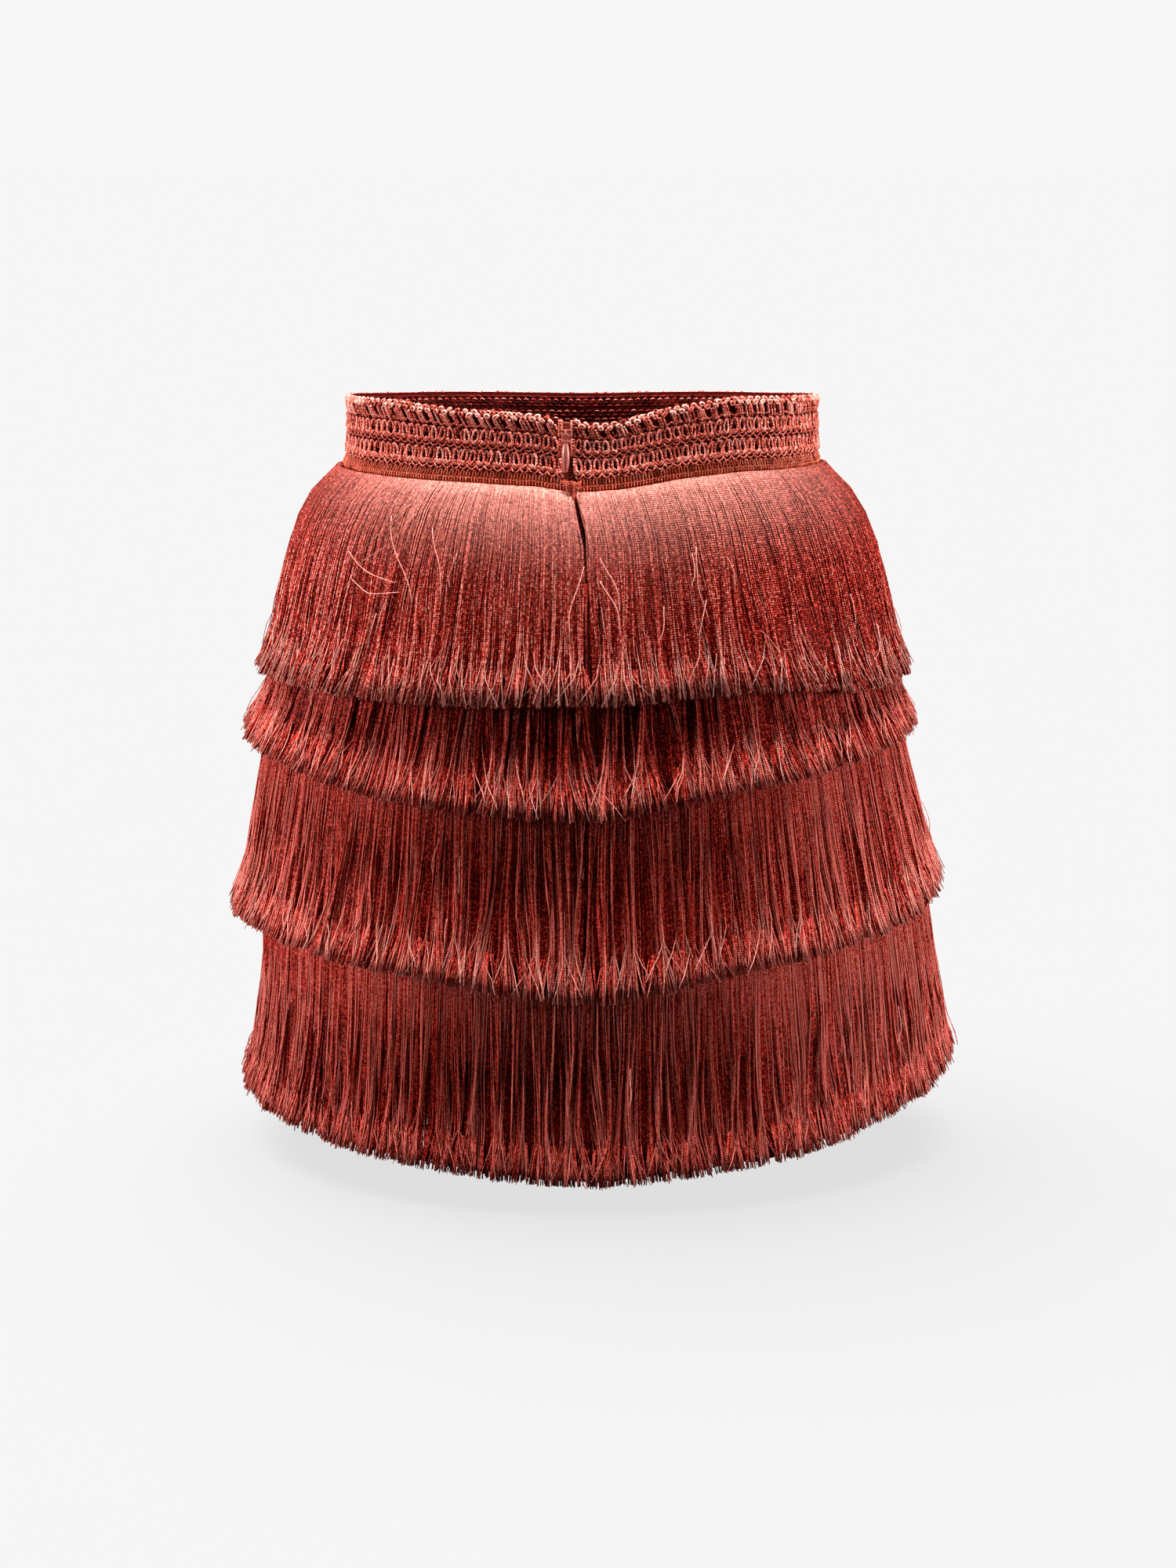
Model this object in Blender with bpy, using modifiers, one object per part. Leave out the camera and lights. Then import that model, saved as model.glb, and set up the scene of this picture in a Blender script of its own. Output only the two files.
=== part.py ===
"""Fringe mini skirt: a knit base worn hollow, a braided waist, a centre-back zip and four tiers of thread fringe.

The skirt stands as it is worn. Its back, with the zip, faces -Y and the wearer faces +Y. The origin is in the
middle of the waist's hollow, at half the height of the waistband. Metres, +Z up.
"""
from collections import namedtuple
from math import cos, pi, radians, sin

import bmesh
import bpy
from mathutils import Matrix, Vector

# Driving dimensions -------------------------------------------------------------------------------------------

SEAM_GAP = 0.0003
SIDE_SEAM_GAP = 0.0005
TIER_SEAM_GAP = 0.0010
TRIM_CLEARANCE = 0.0005
KNIT_THICKNESS = 0.0010
BRAID_THICKNESS = 0.0028
BRAID_SWELL = 0.0005
HEADER_THICKNESS = 0.0013
HEADER_HEIGHT = 0.0060

WAIST_TOP = 0.0180
ROLL_HEIGHT = 0.0098
UPPER_BRAID_HEIGHT = 0.0108
LOWER_BRAID_HEIGHT = 0.0111
BAND_HEIGHT = ROLL_HEIGHT + UPPER_BRAID_HEIGHT + LOWER_BRAID_HEIGHT

ZIP_GAP = 0.0026
ZIP_END = -0.1480
TAPE_TOP = 0.0085
TAPE_WIDTH = 0.0110
TAPE_THICKNESS = 0.0007
TAPE_OUTER = -KNIT_THICKNESS - SEAM_GAP
COIL_WIDTH = 0.0024
COIL_THICKNESS = 0.0012
SLIDER_CENTRE = 0.0012
SLIDER_SIZE = Vector((0.0044, 0.0040, 0.0082))
STOP_SIZE = Vector((0.0032, 0.0026, 0.0032))
PIVOT_HEIGHT = 0.0033
PIVOT_STAND_OFF = 0.0056
BRIDGE_REACH = 0.0015
BRIDGE_RADIUS = 0.0004
BRIDGE_STEPS = 8
EYE_RADIUS = 0.0016
EYE_WIRE = 0.00042
COLLAR_SIZE = Vector((0.0046, 0.0019, 0.0014))
DROP_LENGTH = 0.0150
DROP_RADIUS = 0.00205
DROP_END_RADIUS = 0.00086
DROP_STEPS = 10

# Angles run round the skirt from the centre back to the right of the picture of its back, the front, the left,
# and to the centre back again.
BACK = 0.0
RIGHT_SEAM = 90.0
FRONT = 180.0
LEFT_SEAM = 270.0
WHOLE_TURN = 360.0

# Half the way round, as columns of each run: close together near the zip, and one on each side seam.
RunRow = namedtuple("RunRow", "start end columns")
HALF_ROUND = (
    RunRow(0.0, 27.0, 6),
    RunRow(27.0, 90.0, 5),
    RunRow(90.0, 180.0, 8),
)

# The base cloth's outer surface down the skirt: half widths on the -X and +X sides, depths to back and front.
BodyRow = namedtuple("BodyRow", "z left right back front")
BODY = (
    BodyRow(0.0250, 0.1226, 0.1222, 0.0830, 0.0835),
    BodyRow(-0.0080, 0.1230, 0.1228, 0.0832, 0.0838),
    BodyRow(-0.0160, 0.1245, 0.1243, 0.0845, 0.0848),
    BodyRow(-0.0240, 0.1295, 0.1285, 0.0872, 0.0868),
    BodyRow(-0.0340, 0.1365, 0.1358, 0.0912, 0.0897),
    BodyRow(-0.0450, 0.1425, 0.1425, 0.0958, 0.0928),
    BodyRow(-0.0600, 0.1485, 0.1490, 0.1010, 0.0965),
    BodyRow(-0.0900, 0.1570, 0.1578, 0.1095, 0.1025),
    BodyRow(-0.1290, 0.1636, 0.1645, 0.1185, 0.1085),
    BodyRow(-0.1580, 0.1690, 0.1695, 0.1235, 0.1120),
    BodyRow(-0.2000, 0.1745, 0.1780, 0.1270, 0.1150),
    BodyRow(-0.2350, 0.1755, 0.1850, 0.1295, 0.1170),
    BodyRow(-0.2700, 0.1725, 0.1880, 0.1315, 0.1185),
    BodyRow(-0.3000, 0.1735, 0.1930, 0.1325, 0.1195),
    BodyRow(-0.3500, 0.1765, 0.1945, 0.1330, 0.1200),
    BodyRow(-0.3900, 0.1775, 0.1945, 0.1330, 0.1200),
)

# How far the waistband's top and bottom edges rise above their level at the side seams, round the waist.
WaistRow = namedtuple("WaistRow", "angle top bottom")
WAIST = (
    WaistRow(0, -0.0075, -0.0056),
    WaistRow(7, -0.0108, -0.0050),
    WaistRow(14, -0.0072, -0.0033),
    WaistRow(22, -0.0025, -0.0003),
    WaistRow(35, 0.0022, 0.0024),
    WaistRow(55, 0.0008, 0.0016),
    WaistRow(90, -0.0022, 0.0008),
    WaistRow(130, -0.0060, -0.0022),
    WaistRow(180, -0.0090, -0.0050),
    WaistRow(230, -0.0060, -0.0030),
    WaistRow(270, -0.0022, -0.0005),
    WaistRow(306, -0.0006, -0.0013),
    WaistRow(336, -0.0040, -0.0020),
    WaistRow(351, -0.0052, -0.0030),
    WaistRow(360, -0.0075, -0.0056),
)

# The height of each tier's cut hem, round the skirt.
HemRow = namedtuple("HemRow", "angle tier_1 tier_2 tier_3 tier_4")
HEMS = (
    HemRow(0, -0.1275, -0.1855, -0.2800, -0.3775),
    HemRow(30, -0.1235, -0.1720, -0.2650, -0.3705),
    HemRow(60, -0.1320, -0.1630, -0.2560, -0.3535),
    HemRow(90, -0.1290, -0.1560, -0.2440, -0.3430),
    HemRow(180, -0.1310, -0.1630, -0.2580, -0.3580),
    HemRow(270, -0.1290, -0.1600, -0.2610, -0.3580),
    HemRow(300, -0.1290, -0.1685, -0.2615, -0.3640),
    HemRow(330, -0.1300, -0.1800, -0.2685, -0.3710),
    HemRow(360, -0.1275, -0.1855, -0.2800, -0.3775),
)

# How far the fringe's outer face stands off the base cloth and how thick the fringe is, down a tier. The first
# tier springs out from its header, and lies over most of the second.
LayerRow = namedtuple("LayerRow", "share outer thickness")
LAYER_OVER = (
    LayerRow(0.00, 0.0024, 0.0010),
    LayerRow(0.05, 0.0058, 0.0012),
    LayerRow(0.13, 0.0084, 0.0014),
    LayerRow(0.26, 0.0092, 0.0018),
    LayerRow(0.42, 0.0090, 0.0022),
    LayerRow(0.60, 0.0088, 0.0026),
    LayerRow(0.80, 0.0094, 0.0031),
    LayerRow(1.00, 0.0106, 0.0036),
)
LAYER_UNDER = (
    LayerRow(0.00, 0.0022, 0.0010),
    LayerRow(0.12, 0.0028, 0.0014),
    LayerRow(0.30, 0.0034, 0.0018),
    LayerRow(0.52, 0.0041, 0.0024),
    LayerRow(0.78, 0.0058, 0.0030),
    LayerRow(1.00, 0.0099, 0.0050),
)
LAYER_FREE = (
    LayerRow(0.00, 0.0022, 0.0010),
    LayerRow(0.25, 0.0032, 0.0018),
    LayerRow(0.50, 0.0048, 0.0028),
    LayerRow(0.75, 0.0072, 0.0040),
    LayerRow(1.00, 0.0099, 0.0050),
)

# Each tier's drop from its header to its hem, its layer, the flare of its hem on the left and right, and whether
# the zip opens it. The first tier hangs from the waistband, so its drop follows from that.
Tier = namedtuple("Tier", "number drop layer flare_left flare_right opens")
TIERS = (
    Tier(1, None, LAYER_OVER, 0.0000, 0.0000, True),
    Tier(2, 0.1155, LAYER_UNDER, 0.0030, 0.0000, True),
    Tier(3, 0.1190, LAYER_FREE, 0.0090, 0.0000, False),
    Tier(4, 0.1195, LAYER_FREE, 0.0010, 0.0000, False),
)

# The base cloth's top, its hem at the sides, and how much lower it hangs at the centre back.
BASE_TOP = 0.0165
BASE_HEM = -0.3020
BASE_HEM_DIP = 0.0150

# The zip's line beside the centre back, which leans where the band is pulled aside, and the half gap between
# the edges of the tiers that it opens.
ZipRow = namedtuple("ZipRow", "z offset tier_gap")
ZIP_LINE = (
    ZipRow(0.0250, -0.0081, 0.0026),
    ZipRow(-0.0100, -0.0081, 0.0026),
    ZipRow(-0.0200, -0.0055, 0.0026),
    ZipRow(-0.0300, -0.0022, 0.0008),
    ZipRow(-0.0450, -0.0005, 0.0006),
    ZipRow(-0.0900, 0.0015, 0.0006),
    ZipRow(-0.3900, 0.0020, 0.0006),
)
ZIP_LEAN_REACH = 36.0


# Reading the tables -------------------------------------------------------------------------------------------

def between(rows, key, at):
    """The two rows on either side of a key value, and how far it lies between them, from 0 to 1."""
    for low, high in zip(rows, rows[1:]):
        start = getattr(low, key)
        end = getattr(high, key)
        if min(start, end) <= at <= max(start, end):
            return low, high, (at - start) / (end - start)
    raise ValueError(f"{key} {at} is off the table")


def read_down(rows, column, at, key="z"):
    """A column's value down the skirt, along straight runs from row to row."""
    low, high, share = between(rows, key, at)
    return getattr(low, column) + share * (getattr(high, column) - getattr(low, column))


def read_round(rows, column, angle):
    """A column's value round the skirt, eased from row to row so that an edge has no corners."""
    low, high, share = between(rows, "angle", angle % WHOLE_TURN)
    eased = 0.5 * share + 0.5 * share * share * (3.0 - 2.0 * share)
    return getattr(low, column) + eased * (getattr(high, column) - getattr(low, column))


def on_body(angle, z, stand_off):
    """A point at a height on the skirt's round, moved out from the base cloth's outer surface."""
    turn = radians(angle)
    width = read_down(BODY, "right" if sin(turn) > 0.0 else "left", z) + stand_off
    depth = read_down(BODY, "back" if cos(turn) > 0.0 else "front", z) + stand_off
    return Vector((width * sin(turn), -depth * cos(turn), z))


def zip_angle(z, beside=0.0):
    """The angle of a line that runs down beside the zip's line."""
    return (read_down(ZIP_LINE, "offset", z) + beside) / read_down(BODY, "left", z) * 180.0 / pi


def edge_gap(seam, z, zip_gap):
    """The angle that a panel's edge is held back from a seam."""
    if seam in (BACK, WHOLE_TURN):
        return zip_gap / read_down(BODY, "left", z) * 180.0 / pi
    return SIDE_SEAM_GAP / 2.0 / read_down(BODY, "back", z) * 180.0 / pi


def column_angle(column, columns, z, zip_gap):
    """A column's real angle at a height: led along the zip near it, and held back from the seams at the ends."""
    lean = max(0.0, 1.0 - min(column, WHOLE_TURN - column) / ZIP_LEAN_REACH)
    angle = column + lean * zip_angle(z)
    if column == columns[0]:
        angle += edge_gap(column, z, zip_gap)
    if column == columns[-1]:
        angle -= edge_gap(column, z, zip_gap)
    return angle


def columns_between(start, end):
    """Column angles from start to end, the same on both sides of the skirt."""
    half = [BACK]
    for run in HALF_ROUND:
        step = (run.end - run.start) / run.columns
        half += [run.start + step * (count + 1) for count in range(run.columns)]
    whole = half + [WHOLE_TURN - angle for angle in reversed(half[:-1])]
    return [angle for angle in whole if start <= angle <= end]


# Making objects -----------------------------------------------------------------------------------------------

def clear_scene():
    """Remove the objects of a new file."""
    for found in list(bpy.data.objects):
        bpy.data.objects.remove(found, do_unlink=True)


def new_collection(name):
    """A collection in the scene."""
    made = bpy.data.collections.new(name)
    bpy.context.scene.collection.children.link(made)
    return made


def material(name, colour, roughness, metallic=0.0):
    """A Principled material, from an sRGB colour in 0 to 255."""
    made = bpy.data.materials.new(name)
    made.use_nodes = True
    shader = made.node_tree.nodes["Principled BSDF"]
    linear = [(channel / 255.0) ** 2.2 for channel in colour]
    shader.inputs["Base Color"].default_value = (*linear, 1.0)
    shader.inputs["Roughness"].default_value = roughness
    shader.inputs["Metallic"].default_value = metallic
    return made


def add_object(name, data, collection, look):
    """An object in its collection, with its one material."""
    made = bpy.data.objects.new(name, data)
    data.materials.append(look)
    collection.objects.link(made)
    return made


def add_wall(name, collection, look, columns, rows, place, thickness):
    """A cloth wall: a grid laid on the body by place(column, row), then thickened inward by Solidify.

    The thickness is one number, or a list with one for each row.
    """
    sheet = bmesh.new()
    bmesh.ops.create_grid(sheet, x_segments=len(columns) - 1, y_segments=len(rows) - 1, size=1.0)
    ordered = sorted(sheet.verts, key=lambda vertex: (round(vertex.co.y, 4), round(vertex.co.x, 4)))
    for index, vertex in enumerate(ordered):
        row, column = divmod(index, len(columns))
        vertex.co = place(columns[column], rows[len(rows) - 1 - row])
        vertex.index = (len(rows) - 1 - row) * len(columns) + column
    sheet.verts.sort()
    mesh = bpy.data.meshes.new(name)
    sheet.to_mesh(mesh)
    sheet.free()
    made = add_object(name, mesh, collection, look)
    thick = made.modifiers.new("wall", "SOLIDIFY")
    thick.offset = -1.0
    thick.thickness = thickness if isinstance(thickness, float) else max(thickness)
    if isinstance(thickness, list):
        group = made.vertex_groups.new(name="share_of_thickness")
        thick.vertex_group = group.name
        for row, row_thickness in enumerate(thickness):
            on_row = range(row * len(columns), (row + 1) * len(columns))
            group.add(list(on_row), row_thickness / thick.thickness, "REPLACE")
    mesh.shade_smooth()
    return made


def add_wire(name, points, radius, collection, look):
    """A round wire along a path of points, with filled ends."""
    curve = bpy.data.curves.new(name, "CURVE")
    curve.dimensions = "3D"
    curve.bevel_depth = radius
    curve.bevel_resolution = 2
    curve.use_fill_caps = True
    path = curve.splines.new("POLY")
    path.points.add(len(points) - 1)
    for knot, point in zip(path.points, points):
        knot.co = (*point, 1.0)
    return add_object(name, curve, collection, look)


def add_block(name, centre, size, edge, collection, look):
    """A block with rounded edges."""
    mesh = bpy.data.meshes.new(name)
    cube = bmesh.new()
    bmesh.ops.create_cube(cube, size=1.0, matrix=Matrix.Diagonal((*size, 1.0)))
    bmesh.ops.bevel(cube, geom=cube.edges[:], offset=edge, segments=2, profile=0.5, affect="EDGES")
    cube.to_mesh(mesh)
    cube.free()
    made = add_object(name, mesh, collection, look)
    made.location = centre
    return made


# The waist ----------------------------------------------------------------------------------------------------

def band_height(angle, depth):
    """The height on the waistband a given depth below its top edge, at its level at the sides."""
    share = min(1.0, depth / BAND_HEIGHT)
    top = read_round(WAIST, "top", angle)
    bottom = read_round(WAIST, "bottom", angle)
    return WAIST_TOP - depth + top + share * (bottom - top)


def add_waist_row(name, top, bottom, collection, look):
    """One row of the waistband, open at the zip: its depths below the top edge, and a slight swell between."""
    columns = columns_between(BACK, WHOLE_TURN)

    def place(column, share):
        level = band_height(column, top + share * (bottom - top))
        swell = BRAID_SWELL * (1.0 - (2.0 * share - 1.0) ** 2)
        angle = column_angle(column, columns, level, ZIP_GAP)
        return on_body(angle, level, TRIM_CLEARANCE + BRAID_THICKNESS + swell)

    return add_wall(name, collection, look, columns, (0.0, 0.5, 1.0), place, BRAID_THICKNESS)


def add_waist(collection, look):
    """The whipped edge roll and the two rows of gimp braid, 0.3 mm apart."""
    upper_top = ROLL_HEIGHT + SEAM_GAP
    lower_top = ROLL_HEIGHT + UPPER_BRAID_HEIGHT + SEAM_GAP
    add_waist_row("waist_edge_roll", 0.0, ROLL_HEIGHT, collection, look)
    add_waist_row("waist_braid_upper", upper_top, ROLL_HEIGHT + UPPER_BRAID_HEIGHT, collection, look)
    add_waist_row("waist_braid_lower", lower_top, BAND_HEIGHT, collection, look)


# The base skirt -----------------------------------------------------------------------------------------------

def base_height(angle, row):
    """A base row's height: the top row follows the waist, and the hem dips at the centre back."""
    if row == BASE_TOP:
        return row + read_round(WAIST, "top", angle)
    if row == BASE_HEM:
        return row - BASE_HEM_DIP * max(0.0, cos(radians(angle)))
    return row


def add_base_panel(name, start, end, collection, look):
    """One panel of the base cloth between two seams. Its zip edges stand apart down to the zip's end."""
    columns = columns_between(start, end)
    inner_rows = [row.z for row in BODY if BASE_HEM < row.z < 0.0] + [ZIP_END]
    rows = [BASE_TOP] + sorted(inner_rows, reverse=True) + [BASE_HEM]

    def place(column, row):
        level = base_height(column, row)
        zip_gap = ZIP_GAP if level >= ZIP_END else SEAM_GAP / 2.0
        return on_body(column_angle(column, columns, level, zip_gap), level, 0.0)

    return add_wall(name, collection, look, columns, rows, place, KNIT_THICKNESS)


def add_base(collection, look):
    """The front panel and the two back panels."""
    add_base_panel("base_skirt_back_right", BACK, RIGHT_SEAM, collection, look)
    add_base_panel("base_skirt_front", RIGHT_SEAM, LEFT_SEAM, collection, look)
    add_base_panel("base_skirt_back_left", LEFT_SEAM, WHOLE_TURN, collection, look)


# The fringe ---------------------------------------------------------------------------------------------------

def header_bottom(tier, angle):
    """The height of the lower edge of a tier's heading tape."""
    if tier.drop is None:
        return band_height(angle, BAND_HEIGHT + TRIM_CLEARANCE + HEADER_HEIGHT)
    return read_round(HEMS, f"tier_{tier.number}", angle) + tier.drop


def tier_angle(tier, column, columns, level):
    """A tier column's real angle, with the tier's gap at the zip or a seam's gap where it is closed."""
    gap = read_down(ZIP_LINE, "tier_gap", level) if tier.opens else TIER_SEAM_GAP / 2.0
    return column_angle(column, columns, level, gap)


def add_header(tier, collection, look):
    """A tier's heading tape, flat on the base cloth."""
    columns = columns_between(BACK, WHOLE_TURN)

    def place(column, share):
        level = header_bottom(tier, column) + (1.0 - share) * HEADER_HEIGHT
        return on_body(tier_angle(tier, column, columns, level), level, TRIM_CLEARANCE + HEADER_THICKNESS)

    name = f"fringe_header_{tier.number}"
    return add_wall(name, collection, look, columns, (0.0, 0.5, 1.0), place, HEADER_THICKNESS)


def add_tier(tier, collection, look):
    """A tier of fringe as one solid of its reach, from its header down to its cut hem."""
    columns = columns_between(BACK, WHOLE_TURN)
    shares = [row.share for row in tier.layer]

    def place(column, share):
        top = header_bottom(tier, column) - SEAM_GAP
        level = top + share * (read_round(HEMS, f"tier_{tier.number}", column) - top)
        side = sin(radians(column))
        flare = (tier.flare_right if side > 0.0 else tier.flare_left) * abs(side) * share ** 4
        stand_off = read_down(tier.layer, "outer", share, key="share") + flare
        return on_body(tier_angle(tier, column, columns, level), level, stand_off)

    thicknesses = [row.thickness for row in tier.layer]
    return add_wall(f"fringe_tier_{tier.number}", collection, look, columns, shares, place, thicknesses)


# The zip ------------------------------------------------------------------------------------------------------

def add_zip_strip(name, near, far, outer, thickness, top, collection, look):
    """A strip that runs down the zip between two distances beside its line, its outer face at a stand-off."""
    levels = [top] + [row.z for row in BODY if ZIP_END < row.z < top] + [ZIP_END]

    def place(beside, level):
        return on_body(zip_angle(level, beside), level, outer)

    return add_wall(name, collection, look, (near, far), levels, place, thickness)


def zip_point(z, stand_off):
    """A point on the zip's line."""
    return on_body(zip_angle(z), z, stand_off)


def add_zip_chain(collection, tape_look, coil_look):
    """The two tapes behind the base cloth's edges, and the meshed coil between them."""
    near = SEAM_GAP / 2.0
    tape = (TAPE_OUTER, TAPE_THICKNESS, TAPE_TOP, collection, tape_look)
    add_zip_strip("zip_tape_right", near, TAPE_WIDTH, *tape)
    add_zip_strip("zip_tape_left", -TAPE_WIDTH, -near, *tape)
    half = COIL_WIDTH / 2.0
    coil_outer = TAPE_OUTER + SEAM_GAP + COIL_THICKNESS
    coil_top = SLIDER_CENTRE - SLIDER_SIZE.z / 2.0 - SEAM_GAP
    add_zip_strip("zip_coil", -half, half, coil_outer, COIL_THICKNESS, coil_top, collection, coil_look)


def add_zip_slider(collection, look):
    """The slider's body, the bridge that carries the pull, and the top stop."""
    inner = TAPE_OUTER + SEAM_GAP
    centre = zip_point(SLIDER_CENTRE, inner + SLIDER_SIZE.y / 2.0)
    add_block("zip_slider", centre, SLIDER_SIZE, 0.0006, collection, look)

    stop_height = SLIDER_CENTRE + (SLIDER_SIZE.z + STOP_SIZE.z) / 2.0 + SEAM_GAP
    stop_centre = zip_point(stop_height, inner + STOP_SIZE.y / 2.0)
    add_block("zip_top_stop", stop_centre, STOP_SIZE, 0.0004, collection, look)

    pivot = zip_point(PIVOT_HEIGHT, PIVOT_STAND_OFF)
    face = centre.y - SLIDER_SIZE.y / 2.0 - SEAM_GAP
    turns = [pi / 2.0 - pi * step / BRIDGE_STEPS for step in range(BRIDGE_STEPS + 1)]
    front = [pivot + BRIDGE_REACH * Vector((0.0, -cos(turn), sin(turn))) for turn in turns]
    top_leg = Vector((pivot.x, face, front[0].z))
    bottom_leg = Vector((pivot.x, face, front[-1].z))
    add_wire("zip_bridge", [top_leg] + front + [bottom_leg], BRIDGE_RADIUS, collection, look)


def drop_profile():
    """The drop's outline from its top to its tip: fullest above its middle, and narrow at both ends."""
    outline = [(0.0, 0.0)]
    for step in range(DROP_STEPS + 1):
        share = step / DROP_STEPS
        swell = sin(pi * share ** 0.85) ** 0.8
        outline.append((DROP_END_RADIUS + (DROP_RADIUS - DROP_END_RADIUS) * swell, -share * DROP_LENGTH))
    outline.append((0.0, -DROP_LENGTH))
    return outline


def add_zip_pull(collection, cutters, look):
    """The pull: an eye round the bridge, a collar and a long drop, united, with its origin on its hinge."""
    pivot = zip_point(PIVOT_HEIGHT, PIVOT_STAND_OFF)
    collar_centre = -2.0 * EYE_RADIUS - 0.5 * COLLAR_SIZE.z
    pull = add_block("zip_pull", pivot, COLLAR_SIZE, 0.0003, collection, look)
    pull.data.transform(Matrix.Translation((0.0, 0.0, collar_centre)))

    bpy.ops.mesh.primitive_torus_add(
        major_radius=EYE_RADIUS, minor_radius=EYE_WIRE, major_segments=20, minor_segments=8
    )
    eye = bpy.context.object
    eye.name = "zip_pull_eye_tool"
    eye.data.transform(Matrix.Rotation(radians(90.0), 4, "X"))
    eye.location = pivot - Vector((0.0, 0.0, EYE_RADIUS))

    outline = drop_profile()
    mesh = bpy.data.meshes.new("zip_pull_drop_tool")
    mesh.from_pydata([(x, 0.0, z) for x, z in outline], [(i, i + 1) for i in range(len(outline) - 1)], [])
    drop = bpy.data.objects.new("zip_pull_drop_tool", mesh)
    drop.location = pivot + Vector((0.0, 0.0, collar_centre - 0.3 * COLLAR_SIZE.z))
    turned = drop.modifiers.new("turned", "SCREW")
    turned.steps = 12
    turned.render_steps = 12
    turned.use_merge_vertices = True
    turned.merge_threshold = 0.00001

    for tool in (eye, drop):
        for owner in list(tool.users_collection):
            owner.objects.unlink(tool)
        cutters.objects.link(tool)
        tool.hide_render = True
        tool.display_type = "WIRE"
        joined = pull.modifiers.new(tool.name, "BOOLEAN")
        joined.operation = "UNION"
        joined.object = tool
    pull.data.shade_smooth()
    pull.data.set_sharp_from_angle(angle=radians(40.0))
    return pull


# The whole skirt ----------------------------------------------------------------------------------------------

def main():
    """Build every piece of the skirt."""
    clear_scene()
    skirt = new_collection("fringe_mini_skirt")
    cutters = new_collection("tools")

    knit = material("rust_knit", (112, 44, 36), 0.90)
    braid = material("rust_braid", (172, 92, 80), 0.75)
    header = material("rust_header", (184, 86, 70), 0.80)
    fringe = material("rust_fringe", (142, 60, 50), 0.60)
    tape = material("rust_zip_tape", (140, 66, 52), 0.85)
    enamel = material("rust_enamel", (211, 146, 134), 0.25)

    add_waist(skirt, braid)
    add_base(skirt, knit)
    for tier in TIERS:
        add_header(tier, skirt, header)
        add_tier(tier, skirt, fringe)
    add_zip_chain(skirt, tape, enamel)
    add_zip_slider(skirt, enamel)
    add_zip_pull(skirt, cutters, enamel)


if __name__ == "__main__":
    main()
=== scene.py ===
from collections import namedtuple
from functools import lru_cache
from math import cos, pi, radians, sin

import bmesh
import bpy
import numpy as np
from bpy.props import FloatProperty, FloatVectorProperty, IntProperty, PointerProperty
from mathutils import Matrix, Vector
from mathutils.bvhtree import BVHTree


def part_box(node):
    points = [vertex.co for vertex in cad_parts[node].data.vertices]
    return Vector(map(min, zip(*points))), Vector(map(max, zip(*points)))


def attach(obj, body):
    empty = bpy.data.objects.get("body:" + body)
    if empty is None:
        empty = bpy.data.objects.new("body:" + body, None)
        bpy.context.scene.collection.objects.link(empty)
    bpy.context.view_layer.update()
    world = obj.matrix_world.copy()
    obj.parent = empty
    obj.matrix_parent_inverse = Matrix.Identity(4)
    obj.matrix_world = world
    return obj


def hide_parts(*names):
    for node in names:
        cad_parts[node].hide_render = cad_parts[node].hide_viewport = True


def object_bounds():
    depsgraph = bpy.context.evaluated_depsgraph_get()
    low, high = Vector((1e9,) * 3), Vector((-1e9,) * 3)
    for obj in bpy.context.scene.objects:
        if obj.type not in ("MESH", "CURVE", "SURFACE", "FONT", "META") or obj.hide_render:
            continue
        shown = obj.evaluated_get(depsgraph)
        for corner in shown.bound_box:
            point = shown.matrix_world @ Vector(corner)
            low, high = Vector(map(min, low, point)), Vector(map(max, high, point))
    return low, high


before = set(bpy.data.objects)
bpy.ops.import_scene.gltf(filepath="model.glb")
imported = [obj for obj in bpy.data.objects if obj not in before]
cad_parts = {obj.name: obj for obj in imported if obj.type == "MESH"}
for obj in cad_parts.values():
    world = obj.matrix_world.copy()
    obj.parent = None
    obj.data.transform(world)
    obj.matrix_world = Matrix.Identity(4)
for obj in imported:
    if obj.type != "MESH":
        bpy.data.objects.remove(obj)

bl_info = {
    "name": "Fringe Mini Skirt",
    "version": (1, 0, 0),
    "blender": (4, 5, 0),
    "location": "3D View > Sidebar > Skirt",
    "description": "Dresses the skirt: thread fringe, gimp braid, edge roll, knit base, zip and studio",
    "category": "Object",
}

CAD_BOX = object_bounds()
SEED = 11
WHOLE_TURN = 2.0 * pi

# The columns in which a CAD piece is read all round, and the height of its rows on a tier and on a trim.
TURNS = 720
TIER_STEP = 0.0015
TRIM_STEP = 0.0004
# The base cloth's panels, the fringe's tiers, and the trims that have a cloth behind them, dark as painted
# shade.
PANELS = ("front", "back_left", "back_right")
TIER_NUMBERS = (1, 2, 3, 4)
BACKED_TRIMS = ("braid_upper", "braid_lower", "edge_roll")

# The zip's line: heights, and its distance there from the centre back. Half the gap between the trims' ends.
ZIP_LINE = (
    (-0.010, -0.0081), (-0.020, -0.0055), (-0.030, -0.0022),
    (-0.045, -0.0005), (-0.090, 0.0015), (-0.200, 0.0020),
)
ZIP_HALF_GAP = 0.0026
# Where the upper tiers' fringe parts over the zip: heights, and the distance there from the centre back.
PARTING = ((-0.020, -0.0052), (-0.0274, -0.0036), (-0.0493, 0.0020), (-0.1003, 0.0040), (-0.200, 0.0048))


# Sizes and colours a user would change


def length_property(label, use, value, low, high, precision=4):
    """A length in metres, with its limits."""
    return FloatProperty(
        name=label, description=use, default=value, min=low, max=high, unit="LENGTH", precision=precision
    )


def colour_property(label, use, *value):
    """A colour swatch, given in 0 to 255."""
    linear = [(channel / 255.0) ** 2.2 for channel in value]
    return FloatVectorProperty(
        name=label, description=use, subtype="COLOR", size=3, min=0.0, max=1.0, default=linear
    )


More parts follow.
